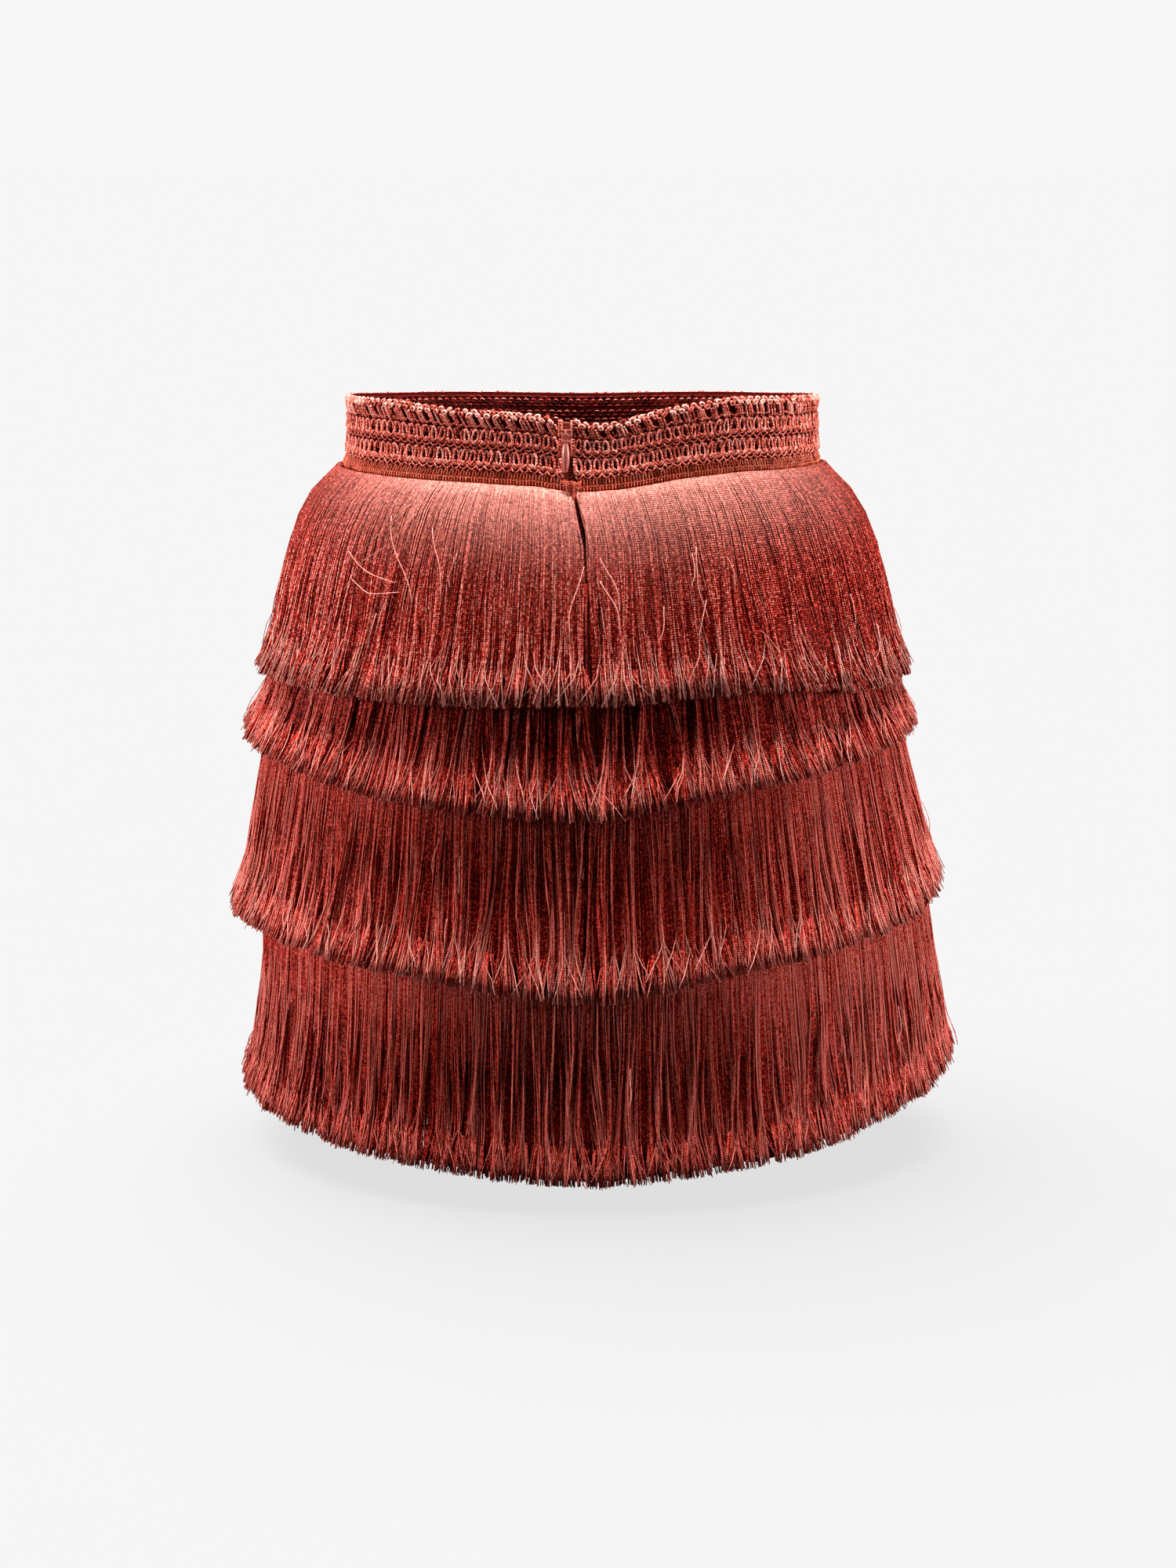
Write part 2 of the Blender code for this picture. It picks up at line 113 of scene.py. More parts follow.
class SKIRT_PG_sizes(bpy.types.PropertyGroup):
    """Threads, stitches and their spacing."""

    threads: IntProperty(
        name="Threads a tier", description="Fringe threads round one tier", default=4600, min=200, max=4800
    )
    thread_radius: length_property(
        "Thread radius", "Half the thickness of a fringe thread", 0.00031, 0.0001, 0.001, 5
    )
    gimp_radius: length_property(
        "Gimp radius", "Half the thickness of the braid's cord", 0.00060, 0.0001, 0.001, 5
    )
    braid_pitch: length_property(
        "Braid pitch", "Distance from one braid loop to the next", 0.0047, 0.002, 0.01
    )
    roll_pitch: length_property(
        "Roll pitch", "Distance between the whipped bars of the edge roll", 0.0072, 0.004, 0.02
    )
    header_pitch: length_property(
        "Header pitch", "Distance between the small arches of the heading tape", 0.0032, 0.002, 0.01
    )
    cloth_thickness: length_property("Cloth thickness", "Thickness of the knit base", 0.0008, 0.0003, 0.002)


class SKIRT_PG_colours(bpy.types.PropertyGroup):
    """The dye of each trim and cloth."""

    fringe: colour_property("Fringe", "Dye of the fringe threads", 200, 55, 42)
    braid: colour_property("Braid", "Dye of the gimp braid and the edge roll", 232, 104, 86)
    # Pale: partly the ends' own paleness, partly painted highlight where a thread catches the light.
    pale: colour_property("Pale ends", "Where a thread is untwisted or catches the light", 246, 172, 156)
    # The darkest stop of the yarns' colours: the darkest dye, and painted shade deep between the threads, in
    # the folds of their twist and on the braids' backing.
    dark_dye_and_shade: colour_property("Folds", "The dye's darkest shade, deep between the threads", 74, 9, 5)
    lining: colour_property("Inside", "Stitches on the inside of the waist", 188, 44, 32)
    header: colour_property("Header", "Dye of the fringe's heading tape", 216, 88, 56)
    knit: colour_property("Knit", "Dye of the base cloth", 84, 26, 20)
    zip_tape: colour_property("Zip tape", "Dye of the zip's tapes", 150, 62, 44)
    enamel: colour_property("Enamel", "Paint of the zip's slider and pull", 176, 88, 76)
    floor: colour_property("Floor", "The studio floor", 246, 246, 246)


# Reading the frame

# A piece's faces as reaches from the skirt's axis, on an even grid of turns and heights. A turn of 0 is the
# centre back, and turns grow towards the +X side. Its edges are read at each turn.
Form = namedtuple("Form", "low step outer inner top bottom")


def even_turns():
    """The turns of a form's columns."""
    return np.arange(TURNS) * WHOLE_TURN / TURNS


def fill_round(values):
    """Fill the turns without a value, such as a zip's gap, from their neighbours."""
    known = np.isfinite(values)
    turns = even_turns()
    return np.interp(turns, turns[known], values[known], period=WHOLE_TURN)


def away(turn):
    """The level direction from the skirt's axis at a turn."""
    return Vector((sin(turn), -cos(turn), 0.0))


@lru_cache(maxsize=None)
def faces_tree(node):
    """The faces of a CAD piece, ready to be met by rays."""
    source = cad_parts[node].data
    return BVHTree.FromPolygons(
        [vertex.co for vertex in source.vertices], [tuple(face.vertices) for face in source.polygons]
    )


def edge_height(tree, outward, inside, step):
    """The height at which a piece ends, between one inside it and the next step."""
    outside = inside + step
    for _ in range(7):
        middle = (inside + outside) / 2.0
        hit = tree.ray_cast(Vector((0.0, 0.0, middle)), outward, 1.0)[3]
        inside, outside = (middle, outside) if hit is not None else (inside, middle)
    return inside


@lru_cache(maxsize=None)
def read_form(node, step):
    """Read a CAD piece's outer and inner faces and its two edges."""
    tree = faces_tree(node)
    low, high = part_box(node)
    heights = np.arange(low.z + 0.25 * step, high.z, step)
    outer = np.full((TURNS, len(heights)), np.nan)
    inner = outer.copy()
    for column, turn in enumerate(even_turns()):
        outward = away(turn)
        for row, height in enumerate(heights):
            level = Vector((0.0, 0.0, height))
            inside = tree.ray_cast(level, outward, 1.0)[3]
            if inside is not None:
                inner[column, row] = inside
                outer[column, row] = 1.0 - tree.ray_cast(level + outward, -outward, 1.0)[3]
    there = np.isfinite(outer)
    first = np.argmax(there, axis=1)
    last = there.shape[1] - 1 - np.argmax(there[:, ::-1], axis=1)
    rows = np.arange(len(heights))
    bottom, top = np.full(TURNS, np.nan), np.full(TURNS, np.nan)
    for column in np.flatnonzero(there.any(axis=1)):
        outward = away(even_turns()[column])
        bottom[column] = edge_height(tree, outward, heights[first[column]], -step)
        top[column] = edge_height(tree, outward, heights[last[column]], step)
        kept = there[column]
        for face in (outer, inner):
            face[column] = np.interp(rows, rows[kept], face[column, kept])
    for face in (outer, inner):
        for row in rows:
            face[:, row] = fill_round(face[:, row])
    return Form(heights[0], step, outer, inner, fill_round(top), fill_round(bottom))


def carried_across(form):
    """A form carried straight across the zip's opening, where its solid starts lower or is missing."""
    opening_half, shoulder_end, least_dip = 0.12, 0.20, 0.001
    beside = np.minimum(even_turns(), WHOLE_TURN - even_turns())
    shoulder = form.top[(beside > opening_half) & (beside < shoulder_end)].min()
    opening = (beside <= opening_half) & (form.top < shoulder - least_dip)
    top, outer, inner = form.top.copy(), form.outer.copy(), form.inner.copy()
    for values in (top[:, None], outer, inner):
        values[opening] = np.nan
        for row in range(values.shape[1]):
            values[:, row] = fill_round(values[:, row])
    return form._replace(top=top, outer=outer, inner=inner)


def columns_at(turn):
    """The two columns beside a turn, and the share of the way between them."""
    column = (turn / WHOLE_TURN * TURNS) % TURNS
    near = column.astype(int) % TURNS
    return near, (near + 1) % TURNS, column - np.floor(column)


def at_turn(values, turn):
    """Values held round the skirt, read at any turn."""
    near, after, share = columns_at(turn)
    return values[near] * (1.0 - share) + values[after] * share


def reach_at(form, face, turn, height):
    """A face's reach at any turn and height. Past an edge it keeps the edge's reach."""
    row = np.clip((height - form.low) / form.step, 0.0, face.shape[1] - 1.001)
    under = row.astype(int)
    share = row - under
    near, after, side = columns_at(turn)
    lower = face[near, under] * (1.0 - side) + face[after, under] * side
    upper = face[near, under + 1] * (1.0 - side) + face[after, under + 1] * side
    return lower * (1.0 - share) + upper * share


def down_from_top(form, turn, share):
    """The height at a share of the way from a form's top edge to its bottom one."""
    top = at_turn(form.top, turn)
    return top + share * (at_turn(form.bottom, turn) - top)


def to_place(turn, reach, height):
    """Points in the row frame."""
    return np.stack(np.broadcast_arrays(reach * np.sin(turn), -reach * np.cos(turn), height), axis=-1)


def outward_at(turn):
    """Unit directions away from the skirt's axis."""
    return np.stack((np.sin(turn), -np.cos(turn), np.zeros_like(turn)), axis=-1)


def runs_round(form, share, half_gap=0.0):
    """The distance along a form to each turn, round from the zip's right edge to its left, and the whole."""
    level = form.top[0] * (1.0 - share) + form.bottom[0] * share
    middle = zip_offset(level) / reach_at(form, form.outer, np.zeros(1), level)[0]
    gap = half_gap / reach_at(form, form.outer, middle, form.top.mean())
    turns = np.linspace(middle + gap, middle + WHOLE_TURN - gap, TURNS * 2)
    height = at_turn(form.top, turns) * (1.0 - share) + at_turn(form.bottom, turns) * share
    points = to_place(turns, reach_at(form, form.outer, turns, height), height)
    runs = np.append(0.0, np.cumsum(np.linalg.norm(np.diff(points, axis=0), axis=1)))
    return runs, turns, runs[-1]


def zip_offset(height, line=ZIP_LINE):
    """How far the zip's line, or the parting over it, is from the centre back at a height."""
    levels, offsets = zip(*line)
    return np.interp(-height, [-level for level in levels], offsets)


# Threads

# Threads of one kind: their rings of points, the distance to each ring, their tone and tip, and whether they
# close.
Strands = namedtuple("Strands", "points length tone tip closed")


class Threads:
    """Gathers threads as round tubes and joins them into one mesh."""

    def __init__(self, sides):
        self.sides = sides
        self.parts = []

    def add(self, paths, radius, outward, tone, tip=0.0, closed=False):
        """Add threads along paths of shape (threads, rings, 3). Tone and tip go to the yarn's colour."""
        rings = paths.shape[:2]
        if closed:
            along = np.roll(paths, -1, axis=1) - np.roll(paths, 1, axis=1)
        else:
            along = np.gradient(paths, axis=1)
        along /= np.maximum(np.linalg.norm(along, axis=2, keepdims=True), 1e-9)
        side = np.cross(along, outward)
        side /= np.maximum(np.linalg.norm(side, axis=2, keepdims=True), 1e-9)
        face = np.cross(side, along)
        spokes = np.arange(self.sides) / self.sides * WHOLE_TURN
        radius, tone, tip = (
            np.broadcast_to(np.asarray(values, dtype=float), rings) for values in (radius, tone, tip)
        )
        ring = face[:, :, None, :] * np.cos(spokes)[:, None] + side[:, :, None, :] * np.sin(spokes)[:, None]
        points = paths[:, :, None, :] + radius[:, :, None, None] * ring
        steps = np.linalg.norm(np.diff(paths, axis=1), axis=2)
        length = np.concatenate((np.zeros((rings[0], 1)), np.cumsum(steps, axis=1)), axis=1)
        self.parts.append(Strands(points, length, tone, tip, closed))

    def faces_of(self, part, start):
        """One part's corners as quads and end caps, with the yarn's and the bake's own coordinates."""
        count, rings, sides, _ = part.points.shape
        index = start + np.arange(count * rings * sides).reshape(count, rings, sides)
        ahead, behind, near = index[:, 1:], index[:, :-1], part.length[:, :-1]
        far = part.length[:, 1:]
        if part.closed:
            ahead, behind, near = np.roll(index, -1, axis=1), index, part.length
            lap = near[:, -1:] * rings / (rings - 1)
            far = np.concatenate((far, lap), axis=1)
        quads = np.stack((behind, np.roll(behind, -1, 2), np.roll(ahead, -1, 2), ahead), axis=-1)
        spoke = np.arange(sides) / sides
        after = spoke + 1.0 / sides
        across = np.broadcast_to(np.stack((spoke, after, after, spoke), axis=-1), quads.shape)
        down = np.broadcast_to(np.stack((near, near, far, far), axis=-1)[:, :, None, :], quads.shape)
        share = down / np.maximum(far[:, -1:], 1e-9)[:, :, None, None]
        thread = np.broadcast_to(np.arange(count)[:, None, None, None], quads.shape)
        made = [(quads, across, down, thread, 0.06 + 0.88 * share)]
        if not part.closed:
            forward = np.arange(sides)
            for ring, order, level, rise in (
                (0, forward[::-1], near[:, :1], 0.03), (-1, forward, far[:, -1:], 0.97)
            ):
                cap = index[:, ring][:, order]
                rise = rise + 0.02 * np.cos(spoke[order] * WHOLE_TURN)
                held = (spoke[order], level, np.arange(count)[:, None], rise)
                made.append((cap, *(np.broadcast_to(values, cap.shape) for values in held)))
        return made

    def build(self, name, look):
        """Join everything into one object with the yarn, tone, tip and bake coordinates."""
        corners, sizes, smooth, yarn, bake = [], [], [], [], []
        start = before = 0
        cells = int(np.ceil(np.sqrt(sum(part.points.shape[0] for part in self.parts))))
        for part in self.parts:
            for place, (corner, across, down, thread, rise) in enumerate(self.faces_of(part, start)):
                sides = corner.shape[-1]
                corner, across, down, thread, rise = (
                    values.reshape(-1) for values in (corner, across, down, thread, rise)
                )
                corners.append(corner)
                sizes.append(np.full(len(corner) // sides, sides))
                smooth.append(np.full(len(corner) // sides, place == 0))
                yarn.append(np.stack((across, down), axis=-1))
                cell = thread + before
                u = (cell % cells + 0.04 + 0.92 * across) / cells
                bake.append(np.stack((u, (cell // cells + rise) / cells), axis=-1))
            start += part.points.size // 3
            before += part.points.shape[0]
        corners, sizes = np.concatenate(corners), np.concatenate(sizes)
        mesh = bpy.data.meshes.new(name)
        mesh.vertices.add(start)
        mesh.vertices.foreach_set("co", np.concatenate([part.points.reshape(-1) for part in self.parts]))
        mesh.loops.add(len(corners))
        mesh.loops.foreach_set("vertex_index", corners.astype(np.int32))
        mesh.polygons.add(len(sizes))
        mesh.polygons.foreach_set("loop_start", np.append(0, np.cumsum(sizes)[:-1]).astype(np.int32))
        mesh.update(calc_edges=True)
        for layer, values in (("yarn", yarn), ("OFBake", bake)):
            made = mesh.uv_layers.new(name=layer)
            made.data.foreach_set("uv", np.concatenate(values).reshape(-1))
        mesh.uv_layers["yarn"].active_render = True
        for layer in ("tone", "tip"):
            made = mesh.attributes.new(layer, "FLOAT", "POINT")
            held = [np.repeat(getattr(part, layer).reshape(-1), self.sides) for part in self.parts]
            made.data.foreach_set("value", np.concatenate(held))
        mesh.polygons.foreach_set("use_smooth", np.concatenate(smooth))
        return add_object(name, mesh, look)


def add_object(name, data, look):
    """An object in the scene with its one material."""
    made = bpy.data.objects.new(name, data)
    data.materials.append(look)
    bpy.context.scene.collection.objects.link(made)
    return made


def settle(piece, slot, *nodes, body="skirt"):
    """Let a finished piece ride on its body and stand for its CAD pieces."""
    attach(piece, body)
    if nodes:
        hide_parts(*nodes)
    return piece


def welded(node):
    """A CAD piece's mesh with its corners joined."""
    shape = bmesh.new()
    shape.from_mesh(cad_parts[node].data)
    bmesh.ops.remove_doubles(shape, verts=shape.verts[:], dist=0.00001)
    return shape


def cloth_from(node, name, look, thickness, recess=0.0):
    """A thin cloth on a CAD piece's outer face, moved in by the recess."""
    least_facing, mean_reach = 0.35, 0.145
    cloth = welded(node)
    cloth.normal_update()
    hidden = []
    for face in cloth.faces:
        middle = face.calc_center_median()
        outward = Vector((middle.x, middle.y, 0.0)).normalized()
        if face.normal.dot(outward) < least_facing:
            hidden.append(face)
    bmesh.ops.delete(cloth, geom=hidden, context="FACES")
    bmesh.ops.join_triangles(
        cloth, faces=cloth.faces[:], angle_face_threshold=0.6, angle_shape_threshold=0.9
    )
    for vertex in cloth.verts:
        outward = Vector((vertex.co.x, vertex.co.y, 0.0)).normalized()
        vertex.co -= outward * recess
    # The cloth's map is its own length round the skirt and its height.
    map_layer = cloth.loops.layers.uv.new("cloth")
    for face in cloth.faces:
        middle = face.calc_center_median()
        turn = np.arctan2(middle.x, -middle.y)
        for loop in face.loops:
            place = loop.vert.co
            own = np.arctan2(place.x, -place.y)
            own += WHOLE_TURN * round((turn - own) / WHOLE_TURN)
            loop[map_layer].uv = (own * mean_reach, place.z)
    mesh = bpy.data.meshes.new(name)
    cloth.to_mesh(mesh)
    cloth.free()
    made = add_object(name, mesh, look)
    rounded = made.modifiers.new("rounded", "SUBSURF")
    rounded.levels = 1
    rounded.render_levels = 1
    rounded.boundary_smooth = "PRESERVE_CORNERS"
    thick = made.modifiers.new("thick", "SOLIDIFY")
    thick.thickness = thickness
    thick.offset = -1.0
    mesh.shade_smooth()
    return made


# Finishes


def add_node(tree, kind, inputs=(), **settings):
    """A shader node with its settings. Each input is given a value, or the output that feeds it."""
    node = tree.nodes.new(kind)
    for name, value in settings.items():
        setattr(node, name, value)
    for place, value in inputs:
        if isinstance(value, bpy.types.NodeSocket):
            tree.links.new(value, node.inputs[place])
        else:
            node.inputs[place].default_value = value
    return node


def maths(tree, operation, *values, **settings):
    """The result of one operation on values and outputs."""
    node = add_node(tree, "ShaderNodeMath", enumerate(values), operation=operation, **settings)
    return node.outputs["Value"]


def blended(tree, share, first, second, **settings):
    """A colour between two others, or the two blended in the way that the settings say."""
    inputs = (("Factor", share), ("A", first), ("B", second))
    return add_node(tree, "ShaderNodeMix", inputs, data_type="RGBA", **settings).outputs["Result"]


def ranged(tree, value, low, high, new_low, new_high):
    """A value carried from one range to another, and held at its ends."""
    inputs = enumerate((value, low, high, new_low, new_high))
    return add_node(tree, "ShaderNodeMapRange", inputs).outputs["Result"]


def mapped(tree, name):
    """The two coordinates of a map."""
    where = add_node(tree, "ShaderNodeUVMap", uv_map=name)
    split = add_node(tree, "ShaderNodeSeparateXYZ", [("Vector", where.outputs["UV"])])
    return split.outputs["X"], split.outputs["Y"]


def cloudy(tree, scale, detail, roughness=0.5):
    """A random cloud through the piece."""
    where = add_node(tree, "ShaderNodeTexCoord").outputs["Object"]
    inputs = (("Vector", where), ("Scale", scale), ("Detail", detail), ("Roughness", roughness))
    return add_node(tree, "ShaderNodeTexNoise", inputs).outputs["Fac"]


def raise_by(tree, shader, height, strength, distance):
    """Let a height stand out of the surface in relief."""
    inputs = (("Height", height), ("Strength", strength), ("Distance", distance))
    raised = add_node(tree, "ShaderNodeBump", inputs)
    tree.links.new(raised.outputs["Normal"], shader.inputs["Normal"])


def new_look(name, roughness, specular=0.5):
    """A material, its tree and its shader."""
    look = bpy.data.materials.new(name)
    look.use_nodes = True
    tree = look.node_tree
    shader = tree.nodes["Principled BSDF"]
    shader.inputs["Roughness"].default_value = roughness
    shader.inputs["Specular IOR Level"].default_value = specular
    return look, tree, shader


def shaded(colour, share):
    """A colour made darker or lighter, with its fourth channel."""
    return (*[min(1.0, channel * share) for channel in colour], 1.0)


def yarn_look(name, colour, pale, dark_dye_and_shade, twist, fleck=1.3, gloss=0.25, lit=1.0):
    """Twisted yarn: painted shade in its folds, painted highlight where its lay turns up, flecks, paler cut
    ends.
    """
    look, tree, shader = new_look(name, roughness=0.42, specular=gloss)
    around, along = mapped(tree, "yarn")
    wound = maths(tree, "MULTIPLY", around, WHOLE_TURN)
    ridge = maths(tree, "SINE", maths(tree, "MULTIPLY_ADD", along, WHOLE_TURN / twist, wound))

    # The thread's tone, which on the fringe also carries painted light and shade, plus flecks about as long
    # as they are wide, plus the lay of its twist as painted shade and highlight.
    tone = add_node(tree, "ShaderNodeAttribute", attribute_name="tone").outputs["Fac"]
    tip = add_node(tree, "ShaderNodeAttribute", attribute_name="tip").outputs["Fac"]
    grain = cloudy(tree, scale=800.0, detail=1.0, roughness=0.7)
    level = ranged(tree, grain, 0.0, 1.0, -0.5 * fleck, 0.5 * fleck)
    twist_shade_share, dye_place = 0.12, 0.55
    tone_and_twist_shade = maths(tree, "MULTIPLY_ADD", ridge, twist_shade_share, maths(tree, "ADD", tone, level))
    # The ramp runs from the darkest dye and painted shade, through the dye, to a paler stop set by lit.
    dye = add_node(tree, "ShaderNodeValToRGB", [("Fac", tone_and_twist_shade)])
    stops = dye.color_ramp.elements
    # The lowest stop is the darkest dye and painted shade.
    stops[0].color = (*dark_dye_and_shade, 1.0)
    # The top stop, paler by lit, is partly paler dye and partly painted highlight.
    stops[1].color = (*[deep + lit * (light - deep) for deep, light in zip(colour, pale)], 1.0)
    stops.new(dye_place).color = shaded(colour, 1.0)
    cut = maths(tree, "MULTIPLY_ADD", tip, level, tip, use_clamp=True)
    ends = blended(tree, cut, dye.outputs["Color"], (*pale, 1.0))
    tree.links.new(ends, shader.inputs["Base Color"])
    raise_by(tree, shader, ridge, strength=0.5, distance=0.0002)
    return look


def knit_look(name, colour, wale, course, roughness, slant=0.35):
    """A fine knit: small slanted stitches in upright wales."""
    look, tree, shader = new_look(name, roughness, specular=0.06)
    around, up = mapped(tree, "cloth")
    fold = maths(tree, "PINGPONG", maths(tree, "MULTIPLY", around, 1.0 / wale), 1.0)
    slope = maths(tree, "MULTIPLY", fold, slant * WHOLE_TURN)
    stitch = maths(tree, "SINE", maths(tree, "MULTIPLY_ADD", up, WHOLE_TURN / course, slope))
    rib = maths(tree, "SINE", maths(tree, "MULTIPLY", fold, pi))
    stitch_share = 0.4
    height = maths(tree, "MULTIPLY_ADD", stitch, stitch_share, rib)

    # Painted shade in the stitches' hollows and painted highlight on their ridges, from the relief's height.
    shade = ranged(tree, height, -0.3, 1.3, 0.0, 1.0)
    dye = blended(tree, shade, shaded(colour, 0.55), shaded(colour, 1.2))
    wear = ranged(tree, cloudy(tree, scale=260.0, detail=3.0), 0.3, 0.7, 0.85, 1.15)
    tree.links.new(blended(tree, 1.0, dye, wear, blend_type="MULTIPLY"), shader.inputs["Base Color"])
    raise_by(tree, shader, height, strength=0.6, distance=0.0003)
    return look


def enamel_look(colour):
    """Glossy paint on metal, a little uneven."""
    look, tree, shader = new_look("zip_enamel", roughness=0.42)
    cloud = cloudy(tree, scale=700.0, detail=2.0)
    dye = blended(tree, cloud, shaded(colour, 0.92), shaded(colour, 1.06))
    tree.links.new(dye, shader.inputs["Base Color"])
    raise_by(tree, shader, cloud, strength=0.06, distance=0.0001)
    shader.inputs["Coat Weight"].default_value = 0.4
    shader.inputs["Coat Roughness"].default_value = 0.22
    return look


# The fringe

# One tier: its number, whether the zip opens it, the shares of its height at which its rings sit, where its
# threads start to gather, how strongly they gather into wide and small locks, the tone and glow of its head
# (on the first tier a painted highlight), the strength of its dye (stronger on the lower tiers: painted light
# against the shade of the tiers above), how much brighter it is painted at both sides and how much more at
# the right one (painted light and shade of the side lamps), how pale its ends are (their own paleness, and
# painted highlight), and how many loose threads lie on it.
Tier = namedtuple(
    "Tier", "number opens shares gathers locks small_locks even_tone glow dye sides right pale strays"
)
SHARES_FIRST = (0.0, 0.05, 0.13, 0.25, 0.40, 0.54, 0.67, 0.78, 0.89, 1.0)
SHARES_LOWER = (0.0, 0.22, 0.42, 0.55, 0.66, 0.75, 0.83, 0.90, 0.95, 1.0)
TIERS = (
    Tier(1, True, SHARES_FIRST, 0.32, 0.12, 0.40, 0.28, 0.62, 1.02, -0.20, -0.20, 1.0, 24),
    Tier(2, True, SHARES_LOWER, 0.05, 0.28, 0.50, 0.45, 0.0, 1.20, 0.20, 0.10, 0.6, 4),
    Tier(3, False, SHARES_LOWER, 0.05, 0.36, 0.56, 0.45, 0.0, 1.46, 0.20, 0.10, 0.65, 6),
    Tier(4, False, SHARES_LOWER, 0.05, 0.32, 0.56, 0.45, 0.0, 1.80, 0.24, 0.14, 0.1, 3),
)
# Loose threads across the first tier, as marks of turn and share of the height.
STRAYS = (
    ((0.010, 0.34), (-0.022, 0.43), (-0.055, 0.56), (-0.057, 0.67)),
    ((0.080, 0.30), (0.145, 0.43), (0.160, 0.56)),
    ((0.080, 0.41), (0.145, 0.54), (0.160, 0.67)),
    ((-0.80, 0.14), (-0.86, 0.30), (-0.97, 0.38), (-1.02, 0.52)),
    ((-0.84, 0.10), (-0.93, 0.28), (-1.05, 0.40)),
    ((-0.90, 0.16), (-0.84, 0.30), (-0.74, 0.44), (-0.72, 0.56)),
    ((-1.04, 0.34), (-0.93, 0.42), (-0.80, 0.46)),
    ((-1.00, 0.46), (-0.90, 0.52), (-0.78, 0.50)),
    ((-0.70, 0.20), (-0.62, 0.36), (-0.60, 0.52)),
    ((0.52, 0.30), (0.49, 0.50), (0.53, 0.66)),
)
# The threads' layers: the share of the depth at which each starts and ends, its share of the threads, how
# unevenly they are spaced, its step through the rings, how much it joins the locks and splays, its thickness
# and tone (the middle and innermost layers are darker: painted shade deep in the fringe), how far short of
# the hem it ends, how late and how much its ends turn pale (partly painted highlight), and how many cross
# their neighbours. The last one is the brush of cut ends at the hem, and has the short shares.
Layer = namedtuple("Layer", "start end part uneven skip gather splay girth tone lift late pale crosses")
LAYERS = (
    Layer(0.00, 0.28, 0.42, 0.5, 1, 1.00, 1.00, 1.00, 1.00, 0.0003, 0.76, 0.95, 0.26),
    Layer(0.28, 0.62, 0.24, 0.5, 2, 0.60, 0.80, 1.20, 0.70, 0.0006, 0.86, 0.15, 0.0),
    Layer(0.80, 0.95, 0.20, 0.0, 3, 0.05, 0.05, 3.90, 0.10, 0.0018, 2.00, 0.00, 0.0),
    Layer(0.30, 0.60, 0.30, 0.8, 0, 0.60, 1.60, 1.10, 0.90, 0.0007, 2.00, 0.00, 0.0),
)
SHORT_SHARES = (0.84, 0.93, 1.0)


def eased(share, start, end):
    """0 before start, 1 after end, and smooth between."""
    run = np.clip((share - start) / (end - start), 0.0, 1.0)
    return run * run * (3.0 - 2.0 * run)


def ripple(chance, rounds, drops, waves=14):
    """A smooth random wave over turns and shares, of unit strength."""
    rounds_each = chance.integers(rounds[0], rounds[1], waves)
    drops_each = chance.uniform(drops[0], drops[1], waves)
    phase = chance.uniform(0.0, WHOLE_TURN, waves)

    def wave(turn, share):
        total = 0.0
        for around, down, start in zip(rounds_each, drops_each, phase):
            total = total + np.sin(around * turn + WHOLE_TURN * down * share + start)
        return total * (2.0 / waves) ** 0.5

    return wave


class Locks:
    """Neighbouring threads that cling together, with the pull, the lean and the fall of each lock."""

    def __init__(self, chance, length, narrow, wide, lean):
        edges = [0.0]
        while edges[-1] < length:
            edges.append(edges[-1] + chance.uniform(narrow, wide))
        self.edges = np.array(edges) * length / edges[-1]
        self.pull = chance.uniform(0.35, 1.25, len(edges))
        self.lean = chance.normal(0.0, lean, len(edges))
        self.fall = chance.normal(0.0, 1.0, len(edges))

    def find(self, root):
        """Each thread's lock, its distance from the lock's middle, and that as a share of half the lock."""
        lock = np.clip(np.searchsorted(self.edges, root, side="right") - 1, 0, len(self.edges) - 2)
        middle = (self.edges[lock] + self.edges[lock + 1]) / 2.0
        half = (self.edges[lock + 1] - self.edges[lock]) / 2.0
        return lock, root - middle, (root - middle) / half


def add_stray(fringe, form, chance, radius, marks):
    """One loose thread that lies across the others, through marks of turn and share of the height."""
    rings, least_off, bow = 14, 0.0008, 0.0018
    steps = np.linspace(0.0, len(marks) - 1.0, rings)
    turn, share = (np.interp(steps, np.arange(len(marks)), [mark[axis] for mark in marks]) for axis in (0, 1))
    blend = np.array([0.25, 0.5, 0.25])
    for _ in range(2):
        turn[1:-1] = np.convolve(turn, blend, "valid")
        share[1:-1] = np.convolve(share, blend, "valid")
    turn, share = turn[None, :], np.minimum(share, 0.99)[None, :]
    turn = turn + 0.0030 * np.sin(steps[None, :] * 3.0 + chance.uniform(0.0, 6.0))
    height = down_from_top(form, turn, share)
    off = least_off + bow * np.sin(pi * np.linspace(0.0, 1.0, rings))[None, :]
    reach = reach_at(form, form.outer, turn, height) + off
    fringe.add(to_place(turn, reach, height), 0.90 * radius, outward_at(turn), 0.85, 0.65)


def ring_shares(tier, layer):
    """The shares of the height at which a layer's threads have their rings, from the head to the end."""
    picked = list(tier.shares[:: layer.skip] if layer.skip else SHORT_SHARES)
    if picked[-1] != 1.0:
        picked.append(1.0)
    return np.array(picked)[None, :]


def parted(shift, height, top, beside, right, share, thicker):
    """Let the threads beside the zip follow the parting, with their heads standing back from it."""
    led_width, parted_width, parted_size, left_part = 0.07, 0.009, 0.0017, -0.4
    led = zip_offset(height, PARTING) - zip_offset(top)
    shift = shift + led * np.clip(1.0 - beside / led_width, 0.0, 1.0)
    back = parted_size * eased(share, 0.0, 0.06) * (1.0 - eased(share, 0.12, 0.44))
    back = back + thicker * eased(share, 0.0, 0.06)
    return shift + np.where(right, back, left_part * back) * np.clip(1.0 - beside / parted_width, 0.0, 1.0)


